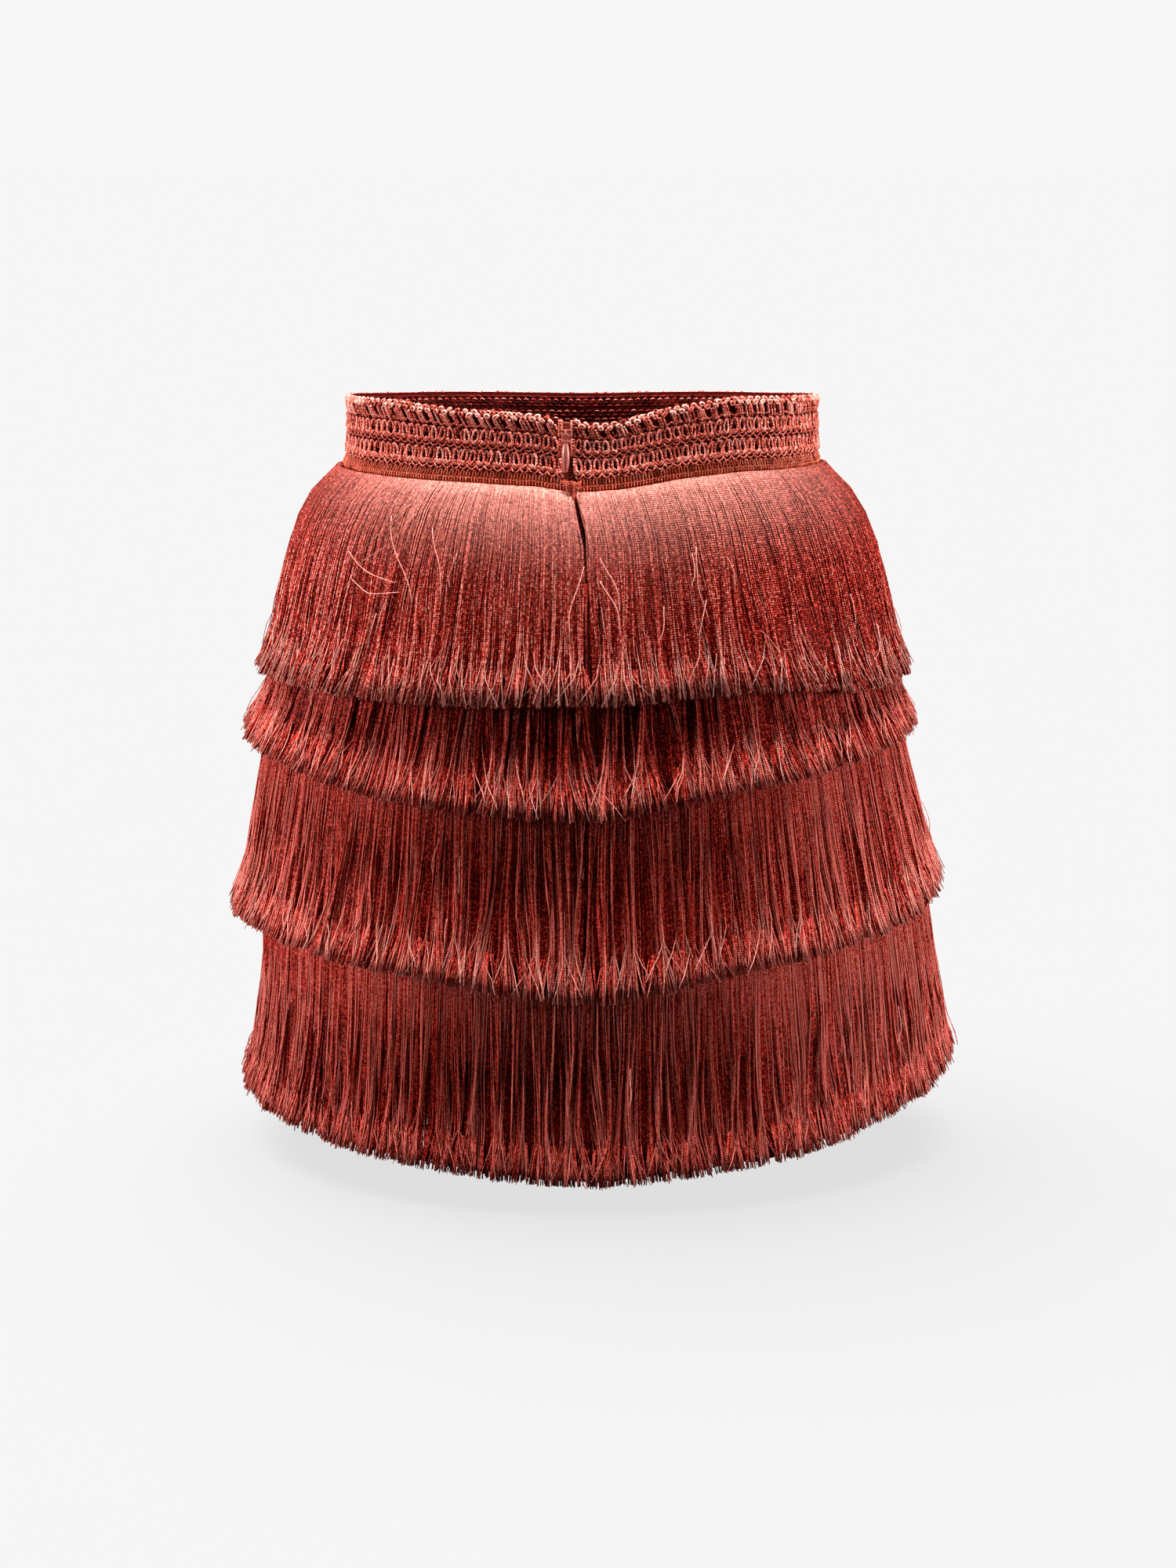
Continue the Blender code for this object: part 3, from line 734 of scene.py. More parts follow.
def flared_wall(form, start, height):
    """A tier's outer reach and thickness. The reach flares on at the hem, where the form is rounded in."""
    hem_round, slope_run, least_slope = 0.010, 0.02, 0.05
    kink = at_turn(form.bottom, start) + hem_round
    level = np.maximum(height, kink)
    above = reach_at(form, form.outer, start, kink + slope_run)
    slope = (reach_at(form, form.outer, start, kink) - above) / slope_run
    wall = reach_at(form, form.outer, start, level)
    thick = wall - reach_at(form, form.inner, start, level)
    return wall + (level - height) * (np.maximum(slope, 0.0) + least_slope), thick


def thread_tone(chance, tier, layer, share, start, painted_sheen):
    """The threads' dye, with painted light and shade: more even at the head, and darker in deeper layers."""
    tone = 0.02 + 0.98 * chance.beta(1.6, 1.8, len(start))[:, None]
    tone = tier.even_tone + (tone - tier.even_tone) * (0.35 + 0.65 * eased(share, 0.0, 0.65))
    # Painted light and shade: the lower tiers' stronger dye lifts them out of the shade of the tiers above,
    # and the deeper layers are darker below the head.
    tone = tone * tier.dye * (1.0 + (layer.tone - 1.0) * eased(share, 0.02, 0.35))
    # Painted shade: the head is darker towards the sides, where its painted sheen fades.
    tone = tone * (1.0 - 0.8 * (1.0 - painted_sheen) * (1.0 - eased(share, 0.05, 0.45)))
    # Painted light and shade of the side lamps: brighter or darker towards both sides, and more at the right
    # one.
    tone = tone * (1.0 + np.sin(start) ** 2 * (tier.sides + tier.right * np.sin(start)))
    tone = tone + layer.pale * (0.40 * tier.pale - 0.36) * eased(share, 0.84, 1.0)
    # Painted shade: the brush's threads are darker where they start, among the threads over them.
    if not layer.skip:
        tone = tone * (0.35 + 0.65 * eased(share, 0.83, 0.96))
    # Painted light: the last of the cut ends are painted brighter, for the light from the floor and between
    # them.
    return tone + 0.22 * eased(share, 0.94, 1.0)


def thread_tip(chance, tier, layer, share, crosses, painted_sheen):
    """How far threads turn pale: at cut ends, partly as painted highlight, and in the head's painted sheen.
    """
    tip = tier.pale * layer.pale * eased(share, layer.late, 1.0) * chance.random(len(crosses))[:, None] ** 4
    tip = np.where(crosses, tier.pale * eased(share, 0.70, 0.90), tip)
    # Painted highlight: the glow of the head, fainter on the deeper layers; pale ends fade where the sheen
    # does.
    glow = tier.glow * painted_sheen * (1.0 - eased(share, 0.0, 0.48)) * (0.4 + 0.6 * layer.tone)
    return np.maximum(tip * (0.5 + 0.5 * painted_sheen), glow)


def add_fringe(tier, threads, radius, look):
    """One tier of fringe: threads from its header to its hem, in layers, locks and splayed ends."""
    chance = np.random.default_rng(SEED + tier.number)
    form = read_form(f"fringe_tier_{tier.number}", TIER_STEP)
    if tier.opens:
        form = carried_across(form)
    runs, turns, length = runs_round(form, 0.0, 0.0005 if tier.opens else 0.0)
    wide_locks = Locks(chance, length, narrow=0.007, wide=0.017, lean=0.0013)
    small_locks = Locks(chance, length, narrow=0.0024, wide=0.0070, lean=0.0010)
    sway = ripple(chance, rounds=(14, 46), drops=(0.2, 1.2))
    quiver = ripple(chance, rounds=(70, 210), drops=(0.6, 2.4))
    hem_wave = ripple(chance, rounds=(30, 120), drops=(0.0, 0.1))
    fringe = Threads(3)

    for layer in LAYERS:
        count = int(threads * layer.part)
        root = (np.arange(count) + layer.uneven * chance.uniform(-1.0, 1.0, count)) / count * length % length
        depth = chance.uniform(layer.start, layer.end, count)[:, None]
        share = ring_shares(tier, layer)
        own = chance.uniform(0.0, WHOLE_TURN, (4, count))[:, :, None]
        # A few threads cross far over their neighbours at the hem.
        crosses = (chance.random(count) < layer.crosses)[:, None]
        splay_size = np.where(crosses, 0.0060, 0.0016)
        side = chance.normal(0.0, 1.0, count)[:, None] * layer.splay * splay_size
        flick = np.abs(chance.normal(0.0, 1.0, count))[:, None]

        start = np.interp(root, runs, turns)[:, None]
        # The head's painted sheen, a painted highlight, fades towards the sides, and the locks cling harder
        # at the centre back.
        painted_sheen = 1.0 - 0.88 * np.abs(np.sin(start)) ** 4
        clings = 1.0 + 0.6 * np.exp(-((2.0 * np.sin(start / 2.0)) / 0.5) ** 2)
        lock, off_middle, across = (value[:, None] for value in wide_locks.find(root))
        small, off_small, across_small = (value[:, None] for value in small_locks.find(root))
        # The locks gather on the way down and open again at the hem.
        gather = layer.gather * eased(share, tier.gathers, 0.78) * (1.0 - 0.8 * eased(share, 0.80, 1.0))
        gather_small = layer.gather * eased(share, tier.gathers, 0.74) * (1.0 - eased(share, 0.80, 1.0))
        shift = -off_middle * tier.locks * clings * wide_locks.pull[lock] * gather
        shift = shift - off_small * tier.small_locks * small_locks.pull[small] * gather_small
        shift = shift + layer.gather * wide_locks.lean[lock] * share ** 2
        shift = shift + layer.gather * small_locks.lean[small] * share ** 2.2
        free = 0.3 + 0.7 * layer.gather
        sway_size, quiver_size, own_size, own_waves = 0.0014, 0.00030, 0.00022, 1.7
        shift = shift + sway_size * free * sway(start, share) * eased(share, 0.0, 0.9)
        shift = shift + quiver_size * free * quiver(start, share) * eased(share, 0.05, 0.6)
        own_wave = np.sin(own[0] + WHOLE_TURN * own_waves * share)
        shift = shift + own_size * free * own_wave * eased(share, 0.0, 0.4)
        splay = np.where(crosses, np.clip((share - 0.85) / 0.15, 0.0, 1.0), eased(share, 0.74, 1.02))
        shift = shift + splay * side

        # The cut ends are a little uneven, and those that cross end higher.
        uneven, crossing_rise = 0.0002, 0.009
        top = at_turn(form.top, start)
        hem = at_turn(form.bottom, start) + layer.lift
        hem = hem + 2.0 * uneven * hem_wave(start, 0.0) + uneven * wide_locks.fall[lock]
        hem = hem + uneven * chance.normal(0.0, 1.0, count)[:, None]
        hem = hem + np.where(crosses, crossing_rise * chance.random(count)[:, None] ** 2, 0.0)
        height = top + share * (hem - top)
        if tier.opens:
            beside = np.minimum(root, length - root)[:, None]
            right = (root < length / 2.0)[:, None]
            shift = parted(shift, height, top, beside, right, share, (layer.girth - 1.0) * radius)
        wall, thick = flared_wall(form, start, height)
        turn = start + shift / wall

        # Each lock is rounded over, and deeper threads come forward at the hem.
        least_thick, lock_round, small_round, quiver_depth = 0.0010, 0.0013, 0.0006, 0.0006
        rounding = lock_round * across ** 2 * gather + small_round * across_small ** 2 * gather_small
        deep = depth * (1.0 - 0.60 * layer.splay * eased(share, 0.75, 1.0))
        reach = wall - radius - deep * np.maximum(thick, least_thick) - rounding
        reach = reach + 0.0004 * np.sin(own[2] + 4.0 * share) * eased(share, 0.0, 0.1) * (1.0 - depth)
        reach = reach + quiver_depth * quiver(turn, share + 0.4) * eased(share, 0.1, 0.8)
        flick_size, crossing_off = 0.0012, 0.0014
        flare = np.clip((share - 0.74) / 0.26, 0.0, 1.0) ** 1.7
        reach = reach + flare * (flick_size + flick_size * flick) * (1.0 - depth)
        reach = reach + np.where(crosses, crossing_off * flare, 0.0)
        girth = layer.girth * radius * chance.uniform(0.82, 1.12, count)[:, None]
        girth = girth * np.where(crosses, 0.9, 1.0)
        # A thick filling thread starts no thicker than this at the head.
        head_girth = 1.6
        narrowed = min(1.0, head_girth / layer.girth) - 1.0
        girth = girth * (1.0 + narrowed * (1.0 - eased(share, 0.0, 0.25)))
        tone = thread_tone(chance, tier, layer, share, start, painted_sheen)
        tip = thread_tip(chance, tier, layer, share, crosses, painted_sheen)
        fringe.add(to_place(turn, reach, height), girth, outward_at(turn), tone, tip)

    for _ in range(tier.strays):
        across, level = chance.uniform(0.0, WHOLE_TURN), chance.uniform(0.30, 0.80)
        drift = chance.normal(0.0, 0.03)
        marks = [(across, level), (across + 0.6 * drift, level + 0.09), (across + drift, level + 0.16)]
        add_stray(fringe, form, chance, radius, marks)
    if tier.number == 1:
        for marks in STRAYS:
            add_stray(fringe, form, chance, radius, marks)
    settle(fringe.build(f"fringe_{tier.number}", look), "fringe", f"fringe_tier_{tier.number}")


# The waist


def inner_reach(turn, height):
    """How far the innermost face of the base cloth is from the middle."""
    trees = [faces_tree(f"base_skirt_{panel}") for panel in PANELS]
    nearest = np.full(turn.shape, np.inf)
    for spot in np.ndindex(turn.shape):
        for tree in trees:
            reach = tree.ray_cast(Vector((0.0, 0.0, height[spot])), away(turn[spot]), 1.0)[3]
            if reach is not None:
                nearest[spot] = min(nearest[spot], reach)
    return nearest


class Band:
    """One face of a trim as a strip. A cord's places are along it from the zip, down it, and off its face."""

    def __init__(self, node, chance, cords, tone=0.60, spread=0.20, limits=(-1.0, 1.2), inside=False):
        self.form = read_form(node, TRIM_STEP)
        self.runs, self.turns, self.length = runs_round(self.form, 0.5, ZIP_HALF_GAP)
        self.chance = chance
        self.cords = cords
        self.tone = tone
        self.spread = spread
        self.limits = limits
        self.inside = inside

    def stations(self, pitch, gap=0.0010):
        """Even stations, the nearest whole number of pitches, and the distance between them."""
        count = int(round((self.length - 2.0 * gap) / pitch))
        step = (self.length - 2.0 * gap) / count
        return gap + step * (np.arange(count) + 0.5), step

    def whole_way(self, stations, pitch, spots):
        """Places along the whole band, so many to a pitch, and their steps in pitches."""
        margin = 0.0006
        steps = np.arange(len(stations) * spots + 1) / spots
        along = np.clip(stations[0] + (steps - 0.5) * pitch, margin, self.length - margin)
        return along[None, :], steps

    def lay(self, run, share, out, radius, tone=None, spread=None, closed=False):
        """Lay one cord for each row of places. Tones are drawn around the one given, or the band's own."""
        run, share, out = np.broadcast_arrays(run, share, out)
        turn = np.interp(run, self.runs, self.turns)
        height = down_from_top(self.form, turn, share)
        if self.inside:
            face = reach_at(self.form, self.form.inner, turn, height)
            reach = np.minimum(inner_reach(turn, height), face) - out
        else:
            reach = reach_at(self.form, self.form.outer, turn, height) + out
        middle = self.tone if tone is None else tone
        spread = self.spread if spread is None else spread
        drawn = np.clip(self.chance.normal(middle, spread, (run.shape[0], 1)), *self.limits)
        self.cords.add(to_place(turn, reach, height), radius, outward_at(turn), drawn, closed=closed)

    def close_ends(self, second, start, out, radius):
        """Turn each end under: two upright cords close it beside the zip."""
        first, waver = 0.0001, 0.0001
        ends = np.array([first, second, self.length - second, self.length - first])[:, None]
        upright = np.linspace(start, 0.97, 9)[None, :]
        self.lay(ends + waver * np.sin(upright * 20.0), upright, out, radius)

    def stitch_rows(self, rows, pitch, half_width, dip, radius):
        """Rows of short bent stitches, each with its level, its tone and its slip along the band."""
        places, step = self.stations(pitch)
        bent = np.linspace(-1.0, 1.0, 5)[None, :]
        for level, tone, slip in rows:
            run = places[:, None] + step * (half_width * bent + slip)
            share = level + dip * bent ** 2 + self.chance.uniform(-0.02, 0.02, len(places))[:, None]
            self.lay(run, share, 0.0003, radius, tone=tone)


def closed_loop(rings):
    """The turns of a closed loop's rings."""
    return (np.arange(rings) / rings * WHOLE_TURN)[None, :]


def add_backing(node, name, look):
    """The cloth behind a braid, dark as painted shade in the braid's gaps."""
    settle(cloth_from(node, f"{name}_backing", look, thickness=0.0009, recess=0.0019), "braid")


def add_braid(node, name, sizes, look, backing):
    """One row of gimp braid: upright loops on a scalloped double chain, over a backing dark as painted shade.
    """
    chance = np.random.default_rng(SEED + len(name) * 7)
    braid = Threads(4)
    band = Band(node, chance, braid, spread=0.13, limits=(0.0, 1.2))
    stations, pitch = band.stations(sizes.braid_pitch)
    count = len(stations)
    thick = sizes.gimp_radius

    # Upright loops, each turned and leaned a little differently.
    lean_size = tip_size = bulge = 0.0003
    around = closed_loop(14)
    width = pitch * chance.uniform(0.28, 0.34, count)[:, None]
    lean = chance.normal(0.0, lean_size, count)[:, None]
    rise = np.cos(around)
    run = stations[:, None] + width * np.sin(around) * (1.0 - 0.25 * rise) + lean * rise
    tipped = tip_size * chance.normal(0.0, 1.0, count)[:, None]
    out = -1.25 * thick + bulge * np.cos(2.0 * around) + tipped * np.sin(around)
    band.lay(run, 0.37 - 0.335 * rise, out, 1.12 * thick, closed=True)
    # Small arches between the loops, a little behind.
    arch = np.linspace(-1.0, 1.0, 7)[None, :]
    middle = (stations + pitch / 2.0)[:-1, None]
    lift = 0.05 + chance.uniform(-0.02, 0.03, count - 1)[:, None]
    band.lay(middle + 0.30 * pitch * arch, lift + 0.30 * arch ** 2, -2.3 * thick, 0.95 * thick)
    # The double scalloped chain along the foot of the row.
    along, steps = band.whole_way(stations, pitch, 8)
    swing = np.abs(np.sin(pi * steps)) ** 0.6
    for foot, drop, stand in ((0.58, 0.20, -1.3), (0.76, 0.21, -0.9)):
        waver = 0.012 * chance.normal(0.0, 1.0, steps.shape)
        band.lay(along, (foot + drop * swing + waver)[None, :], stand * thick, 0.84 * thick)
    # Locking stitches where the loops meet the chain.
    short = np.linspace(-1.0, 1.0, 4)[None, :]
    slant = np.where(np.arange(count) % 2 == 0, 1.0, -1.0)[:, None]
    run = stations[:, None] + 0.17 * pitch * short * slant
    band.lay(run, 0.66 + 0.09 * short, -0.6 * thick, 0.9 * thick)
    band.close_ends(0.0010, 0.03, -1.3 * thick, 1.2 * thick)
    settle(braid.build(name, look), "braid", node)
    add_backing(node, name, backing)


def add_edge_roll(sizes, look, backing, lining):
    """The whipped edge: rings on top, slanted bars over it, and rows of stitches on the inside."""
    node = "waist_edge_roll"
    chance = np.random.default_rng(SEED + 90)
    roll, within = Threads(4), Threads(3)
    band = Band(node, chance, roll, tone=0.66)
    stations, pitch = band.stations(sizes.roll_pitch)
    count = len(stations)
    thick = sizes.gimp_radius
    stitch_pitch = 0.62 * sizes.roll_pitch

    # Two rows of small rings along the top.
    around = closed_loop(9)
    pearls, pearl_pitch = band.stations(0.66 * sizes.roll_pitch, 0.0006)
    for level, slip, stand in ((0.095, 0.0, -0.0008), (0.27, 0.5, -0.0002)):
        tilt = chance.normal(0.0, 0.25, len(pearls))[:, None]
        wide = pearl_pitch * chance.uniform(0.22, 0.30, len(pearls))[:, None]
        run = pearls[:, None] + slip * pearl_pitch + wide * np.cos(around + tilt)
        share = level + 0.095 * np.sin(around - tilt)
        out = stand + 0.0003 * np.cos(2.0 * around)
        band.lay(run[:-1], share[:-1], out, 1.10 * thick, tone=0.85, spread=0.3, closed=True)
    # Slanted bars whipped over the roll, four threads each.
    slant, thread_gap, bar_slip = 0.0026, 0.00124, 0.00045
    down = np.linspace(0.0, 1.0, 7)[None, :]
    for thread in (-1.4, -0.45, 0.45, 1.4):
        slip = chance.normal(0.0, bar_slip, count)[:, None]
        run = stations[:, None] - 0.0012 + slant * down + thread * thread_gap + slip
        out = -0.0004 - 0.0008 * down ** 2 - 0.0004 * abs(thread)
        band.lay(run, 0.36 + 0.63 * down, out, 1.05 * thick, tone=0.56)
    # A low chain that closes the foot of the roll.
    along, steps = band.whole_way(stations, pitch, 6)
    band.lay(along, (0.88 + 0.07 * np.sin(WHOLE_TURN * steps * 1.5))[None, :], -0.0014, thick)
    # Small picots along the very top, inside the rings.
    half = np.linspace(-1.0, 1.0, 7)[None, :]
    picots, picot_pitch = band.stations(stitch_pitch)
    share = 0.03 + 0.10 * half ** 2 + chance.uniform(-0.03, 0.03, len(picots))[:, None]
    band.lay(picots[:, None] + 0.36 * picot_pitch * half, share, -0.0024, 0.85 * thick)
    # Rows of short stitches on the inside, below the edge.
    inner_band = Band(node, chance, within, inside=True)
    rows = ((0.24, 0.0, 0.5), (0.42, 0.75, 0.0), (0.60, 0.0, 0.3), (0.80, 0.2, 0.7))
    inner_band.stitch_rows(rows, stitch_pitch, half_width=0.30, dip=0.06, radius=0.85 * thick)
    band.close_ends(0.0011, 0.06, -0.0008, 1.3 * thick)
    # The back of the upper braid shows as four more rows.
    inner_band = Band("waist_braid_upper", chance, within, inside=True)
    rows = ((0.10, 0.5, 0.5), (0.34, 0.1, 0.0), (0.58, 0.5, 0.4), (0.82, 0.0, 0.1))
    inner_band.stitch_rows(rows, stitch_pitch, half_width=0.34, dip=0.09, radius=0.85 * thick)
    settle(within.build("inside_stitches", lining), "braid")
    settle(roll.build("edge_roll", look), "braid", node)
    add_backing(node, "edge_roll", backing)


def add_header(number, sizes, look, tape):
    """A tier's heading tape. The first one shows, so it has its arches and its comb of stitches."""
    node = f"fringe_header_{number}"
    settle(cloth_from(node, f"header_tape_{number}", tape, thickness=0.0006, recess=0.0006), "header", node)
    if number > 1:
        return
    chance = np.random.default_rng(SEED + 40)
    header = Threads(4)
    band = Band(node, chance, header, limits=(0.0, 1.0))
    stations, pitch = band.stations(sizes.header_pitch, 0.0006)
    count = len(stations)

    # A row of arches, a comb of upright stitches below them, and the wavy thread between the two.
    arch = np.linspace(-1.0, 1.0, 9)[None, :]
    slip = chance.normal(0.0, 0.0001, count)[:, None]
    run = stations[:, None] + 0.30 * pitch * np.sign(arch) * np.abs(arch) ** 0.6 + slip
    band.lay(run, 0.02 + 0.60 * arch ** 4, -0.0002, 0.00044)
    comb = band.stations(sizes.header_pitch / 2.0, 0.0006)[0]
    band.lay(comb[:, None], 0.55 + 0.46 * np.linspace(0.0, 1.0, 3)[None, :], -0.0003, 0.00036)
    steps = np.linspace(stations[0], stations[-1], count * 4)[None, :]
    wave = 0.58 + 0.03 * np.sin(np.arange(count * 4) * pi / 2.0)[None, :]
    band.lay(steps, wave, -0.0004, 0.00030)

    # The tape's ends are turned down to a point over the zip, above the fringe's parting.
    threads, point, rise, drop, mean_reach = 11, -0.0042, 0.0060, 0.0030, 0.09
    form = band.form
    fringe = read_form("fringe_tier_1", TIER_STEP)
    foot = at_turn(form.bottom, np.zeros(1))[0]
    fall = np.linspace(0.0, 1.0, 6)[None, :]
    begin = np.linspace(-0.0102, -0.0008, threads)[:, None]
    turn = (begin + (point - begin) * fall) / mean_reach
    height = foot + rise * (1.0 - fall) - drop * fall
    reach = np.maximum(reach_at(form, form.outer, turn, height), reach_at(fringe, fringe.outer, turn, height))
    reach = reach + 0.0006 * np.sin(pi * fall) + 0.0003
    tone = np.clip(chance.normal(0.22, 0.10, (threads, 1)), 0.0, 1.0)
    header.add(to_place(turn, reach, height), 0.00050 * (1.0 - 0.3 * fall), outward_at(turn), tone)
    settle(header.build("header_stitches", look), "header")


# The zip


def add_pull(look):
    """The zip's pull, with its long drop rounded smooth."""
    shape = welded("zip_pull")
    mesh = bpy.data.meshes.new("pull")
    corners = [vertex.co for vertex in shape.verts]
    mesh.from_pydata(corners, [], [[vertex.index for vertex in face.verts] for face in shape.faces])
    shape.free()
    mesh.shade_smooth()
    mesh.set_sharp_from_angle(angle=radians(42.0))
    settle(add_object("pull", mesh, look), "enamel", "zip_pull", body="zip_pull")


def add_zip_coil(look):
    """The closed coil: one wire wound along the zip's line."""
    coil_pitch, coil_width, coil_depth, wire_radius = 0.0014, 0.0010, 0.00032, 0.00026
    corners = np.array([vertex.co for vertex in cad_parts["zip_coil"].data.vertices])
    levels = np.unique(np.round(corners[:, 2], 4))[::-1]
    centres = np.array([corners[np.abs(corners[:, 2] - level) < 0.0006].mean(axis=0) for level in levels])
    drop = levels[0] - levels[-1]
    wound = np.arange(int(drop / coil_pitch) * 8 + 1) / 8.0
    height = levels[0] - drop * wound / wound[-1]
    across, back = (np.interp(-height, -centres[:, 2], centres[:, axis]) for axis in (0, 1))
    phase = WHOLE_TURN * wound
    path = np.stack((across + coil_width * np.cos(phase), back - coil_depth * np.sin(phase), height), axis=-1)
    coil = Threads(4)
    coil.add(path[None], wire_radius, np.broadcast_to(np.array((0.0, 0.0, 1.0)), path.shape)[None], 0.5)
    settle(coil.build("coil", look), "zip_coil", "zip_coil")


# The stage

# The light that comes from all round, how much of the floor's own brightness a full shadow takes away, and
# how bright the floor is under its lamp alone.
AMBIENT = 0.035
FLOOR_SHADE = 0.25
FLOOR_LIT = 0.95
# The studio's lamps: strength, breadth in degrees, the height and bearing of each, and what it lights.
Lamp = namedtuple("Lamp", "name strength breadth height bearing lights")
LAMPS = (
    Lamp("overhead_light", 7.8, 16.0, 87.0, -10.0, "all_but_floor"),
    Lamp("left_light", 5.0, 26.0, 8.0, -86.0, "all_but_floor"),
    Lamp("right_light", 4.4, 26.0, 6.0, 84.0, "all_but_floor"),
    Lamp("waist_light", 0.8, 24.0, 46.0, 28.0, "only_waist"),
    Lamp("floor_light", 3.0, 72.0, 72.0, -140.0, "only_floor"),
)
WAIST_PIECES = (
    "braid_upper", "braid_upper_backing", "braid_lower", "braid_lower_backing", "edge_roll",
    "edge_roll_backing", "inside_stitches", "header_stitches", "header_tape_1", "base_front",
    "base_back_left", "base_back_right", "tape_left", "tape_right", "coil", "pull",
)


def add_floor(colour):
    """The pale floor. It glows just enough to match the air behind it where no shadow falls."""
    half_size, drop = 60.0, 0.016
    mesh = bpy.data.meshes.new("floor")
    plane = bmesh.new()
    bmesh.ops.create_grid(plane, x_segments=1, y_segments=1, size=half_size)
    plane.to_mesh(mesh)
    plane.free()
    look, tree, shader = new_look("floor_paint", roughness=0.9, specular=0.0)
    grain = cloudy(tree, scale=12.0, detail=2.0)
    dye = blended(tree, grain, shaded(colour, 0.985), shaded(colour, 1.0))
    tree.links.new(dye, shader.inputs["Base Color"])
    strength = (1.0 - FLOOR_SHADE * FLOOR_LIT) / (1.0 - FLOOR_SHADE)
    glow = add_node(tree, "ShaderNodeEmission", (("Color", shaded(colour, 1.0)), ("Strength", strength)))
    parts = enumerate((1.0 - FLOOR_SHADE, shader.outputs["BSDF"], glow.outputs["Emission"]))
    mixed = add_node(tree, "ShaderNodeMixShader", parts)
    tree.links.new(mixed.outputs["Shader"], tree.nodes["Material Output"].inputs["Surface"])
    floor = add_object("studio_floor", mesh, look)
    floor.location.z = CAD_BOX[0].z - drop
    floor.visible_diffuse = False
    floor.visible_glossy = False
    return floor


def add_lamps(floor):
    """The studio's lamps, each with the pieces that it lights."""
    waist = [bpy.data.objects[name] for name in WAIST_PIECES]
    for name, members, state in (
        ("only_floor", [floor], "INCLUDE"),
        ("all_but_floor", [floor], "EXCLUDE"),
        ("only_waist", waist, "INCLUDE"),
    ):
        group = bpy.data.collections.new(name)
        for place, member in enumerate(members):
            group.objects.link(member)
            group.collection_objects[place].light_linking.link_state = state
    for row in LAMPS:
        data = bpy.data.lights.new(row.name, "SUN")
        data.energy = row.strength
        data.angle = radians(row.breadth)
        lamp = bpy.data.objects.new(row.name, data)
        bpy.context.scene.collection.objects.link(lamp)
        bearing, height = radians(row.bearing), radians(row.height)
        aim = Vector((-sin(bearing) * cos(height), cos(bearing) * cos(height), -sin(height)))
        lamp.light_linking.receiver_collection = bpy.data.collections[row.lights]
        lamp.rotation_mode = "QUATERNION"
        lamp.rotation_quaternion = aim.to_track_quat("-Z", "Y")


def studio_air(colour):
    """The air: faint light from all round, seen as the floor's own colour."""
    world = bpy.data.worlds.new("studio_air")
    world.use_nodes = True
    tree = world.node_tree
    light = tree.nodes["Background"]
    light.inputs["Color"].default_value = (1.0, 0.99, 0.98, 1.0)
    light.inputs["Strength"].default_value = AMBIENT
    seen = add_node(tree, "ShaderNodeBackground", (("Color", shaded(colour, 1.0)), ("Strength", 1.0)))
    path = add_node(tree, "ShaderNodeLightPath")
    parts = (path.outputs["Is Camera Ray"], light.outputs["Background"], seen.outputs["Background"])
    mixed = add_node(tree, "ShaderNodeMixShader", enumerate(parts))
    tree.links.new(mixed.outputs["Shader"], tree.nodes["World Output"].inputs["Surface"])
    return world


def add_camera():
    """The camera in front of the skirt, above it and looking a little down."""
    data = bpy.data.cameras.new("camera")
    data.lens = 66.98
    data.sensor_width = 36.0
    data.clip_start = 0.05
    data.clip_end = 200.0
    camera = bpy.data.objects.new("camera", data)
    bpy.context.scene.collection.objects.link(camera)
    camera.location = (0.0028, -1.5621, 0.1493)
    camera.rotation_euler = (radians(77.5), 0.0, 0.0)
    return camera


# Operators


class SKIRT_OT_base_cloth(bpy.types.Operator):
    """Hang the knit base: a front panel and two back panels."""

    bl_idname = "skirt.base_cloth"
    bl_label = "Hang the base cloth"

    def execute(self, context):
        thickness = context.scene.skirt_sizes.cloth_thickness
        knit = context.scene.skirt_colours.knit
        look = knit_look("base_knit", knit, wale=0.0011, course=0.0010, roughness=0.85)
        for panel in PANELS:
            node = f"base_skirt_{panel}"
            settle(cloth_from(node, f"base_{panel}", look, thickness), "knit", node)
        return {"FINISHED"}


class SKIRT_OT_waist_braid(bpy.types.Operator):
    """Work the two rows of gimp braid and the whipped edge roll."""

    bl_idname = "skirt.waist_braid"
    bl_label = "Work the waist braid"

    def execute(self, context):
        sizes = context.scene.skirt_sizes
        colours = context.scene.skirt_colours
        shades = (colours.pale, colours.dark_dye_and_shade)
        look = yarn_look("braid_gimp", colours.braid, *shades, twist=0.0016, fleck=2.0, gloss=0.06)
        inside = yarn_look("inside_gimp", colours.lining, *shades, twist=0.0016, gloss=0.05, lit=0.5)
        # The braids' backing takes the darkest colour: painted shade in their gaps.
        backing = knit_look("braid_backing", colours.dark_dye_and_shade, wale=0.0012, course=0.0012, roughness=0.9)
        for row in ("upper", "lower"):
            add_braid(f"waist_braid_{row}", f"braid_{row}", sizes, look, backing)
        add_edge_roll(sizes, look, backing, inside)
        return {"FINISHED"}


class SKIRT_OT_headers(bpy.types.Operator):
    """Sew on the four heading tapes that carry the fringe."""

    bl_idname = "skirt.headers"
    bl_label = "Sew on the heading tapes"

    def execute(self, context):
        sizes = context.scene.skirt_sizes
        colours = context.scene.skirt_colours
        look = yarn_look(
            "header_thread", colours.header, colours.pale, colours.dark_dye_and_shade, twist=0.0014, fleck=0.9, lit=0.3
        )
        dark = shaded(colours.header, 0.40)[:3]
        tape = knit_look("header_weave", dark, wale=0.0009, course=0.0007, roughness=0.85, slant=0.1)
        for number in TIER_NUMBERS:
            add_header(number, sizes, look, tape)
        return {"FINISHED"}


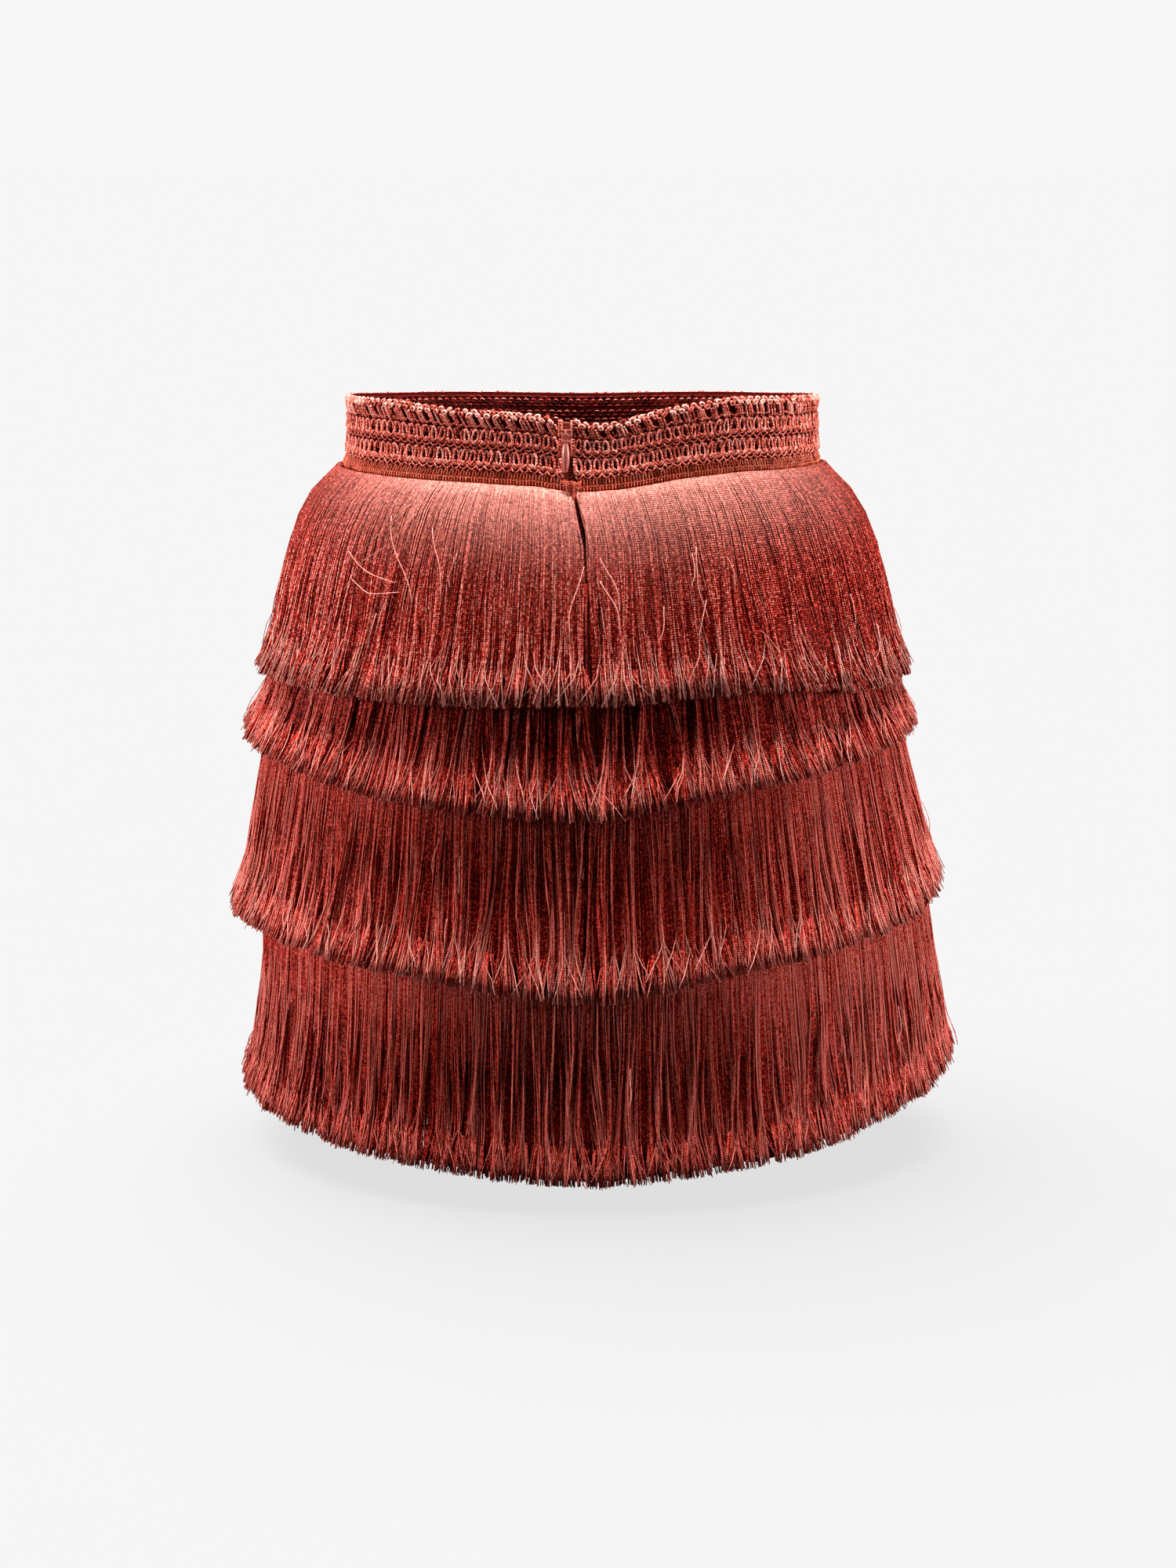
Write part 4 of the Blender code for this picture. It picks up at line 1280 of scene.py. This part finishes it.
class SKIRT_OT_fringe(bpy.types.Operator):
    """Hang the four tiers of thread fringe."""

    bl_idname = "skirt.fringe"
    bl_label = "Hang the fringe"

    def execute(self, context):
        sizes = context.scene.skirt_sizes
        colours = context.scene.skirt_colours
        shades = (colours.fringe, colours.pale, colours.dark_dye_and_shade)
        # The first tier's yarn has a paler top stop than the lower tiers': painted highlight for the light on
        # the top tier.
        upper, lower = (
            yarn_look(name, *shades, twist=0.0012, fleck=2.3, gloss=0.03, lit=lit)
            for name, lit in (("fringe_thread_upper", 0.88), ("fringe_thread_lower", 0.37))
        )
        threads = sizes.threads
        for tier in TIERS:
            add_fringe(tier, threads, sizes.thread_radius, upper if tier.number == 1 else lower)
        return {"FINISHED"}


class SKIRT_OT_zip(bpy.types.Operator):
    """Sew in the zip: woven tapes, the coil, and enamel on the slider, its bridge, the stop and the pull."""

    bl_idname = "skirt.zip"
    bl_label = "Sew in the zip"

    def execute(self, context):
        colours = context.scene.skirt_colours
        tape = knit_look("zip_weave", colours.zip_tape, wale=0.0008, course=0.0006, roughness=0.75, slant=0.5)
        for side in ("left", "right"):
            node = f"zip_tape_{side}"
            settle(cloth_from(node, f"tape_{side}", tape, 0.0005), "zip_tape", node)
        shades = (colours.zip_tape, colours.header, colours.dark_dye_and_shade)
        add_zip_coil(yarn_look("zip_coil_wire", *shades, twist=0.01, fleck=0.0))
        enamel = enamel_look(colours.enamel)
        add_pull(enamel)
        for node in ("zip_top_stop", "zip_slider", "zip_bridge"):
            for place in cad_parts[node].material_slots:
                place.material = enamel
        return {"FINISHED"}


class SKIRT_OT_cloth_facts(bpy.types.Operator):
    """Gather the names of what is sewn on the base panels."""

    bl_idname = "skirt.cloth_facts"
    bl_label = "Note the cut of the cloth"

    def execute(self, context):
        trims = [f"fringe_{number}" for number in TIER_NUMBERS]
        trims += [f"header_tape_{number}" for number in TIER_NUMBERS]
        trims += ["header_stitches", *BACKED_TRIMS, "inside_stitches"]
        trims += [f"{name}_backing" for name in BACKED_TRIMS]
        return {"FINISHED"}


class SKIRT_OT_stage(bpy.types.Operator):
    """Set up the pale floor, the soft studio light and the camera."""

    bl_idname = "skirt.stage"
    bl_label = "Set the stage"

    def execute(self, context):
        scene = context.scene
        colour = scene.skirt_colours.floor
        floor = add_floor(colour)
        add_lamps(floor)
        scene.world = studio_air(colour)
        scene.camera = add_camera()
        scene.view_settings.view_transform = "Standard"
        return {"FINISHED"}


class SKIRT_PT_panel(bpy.types.Panel):
    """The skirt's sizes, colours and steps."""

    bl_idname = "SKIRT_PT_panel"
    bl_label = "Fringe Mini Skirt"
    bl_space_type = "VIEW_3D"
    bl_region_type = "UI"
    bl_category = "Skirt"

    def draw(self, context):
        for group in (context.scene.skirt_sizes, context.scene.skirt_colours):
            box = self.layout.box()
            for name in group.__annotations__:
                box.prop(group, name)
        for step in STEPS:
            self.layout.operator(step.bl_idname)


STEPS = (
    SKIRT_OT_base_cloth,
    SKIRT_OT_waist_braid,
    SKIRT_OT_headers,
    SKIRT_OT_fringe,
    SKIRT_OT_zip,
    SKIRT_OT_cloth_facts,
    SKIRT_OT_stage,
)
CLASSES = (SKIRT_PG_sizes, SKIRT_PG_colours, *STEPS, SKIRT_PT_panel)


def register():
    """Add the classes and the two property groups."""
    for made in CLASSES:
        bpy.utils.register_class(made)
    bpy.types.Scene.skirt_sizes = PointerProperty(type=SKIRT_PG_sizes)
    bpy.types.Scene.skirt_colours = PointerProperty(type=SKIRT_PG_colours)


def unregister():
    """Take them away again."""
    del bpy.types.Scene.skirt_sizes
    del bpy.types.Scene.skirt_colours
    for made in reversed(CLASSES):
        bpy.utils.unregister_class(made)


def main():
    """Make every piece in order."""
    register()
    for step in STEPS:
        group, name = step.bl_idname.split(".")
        getattr(getattr(bpy.ops, group), name)()


if __name__ == "__main__":
    main()
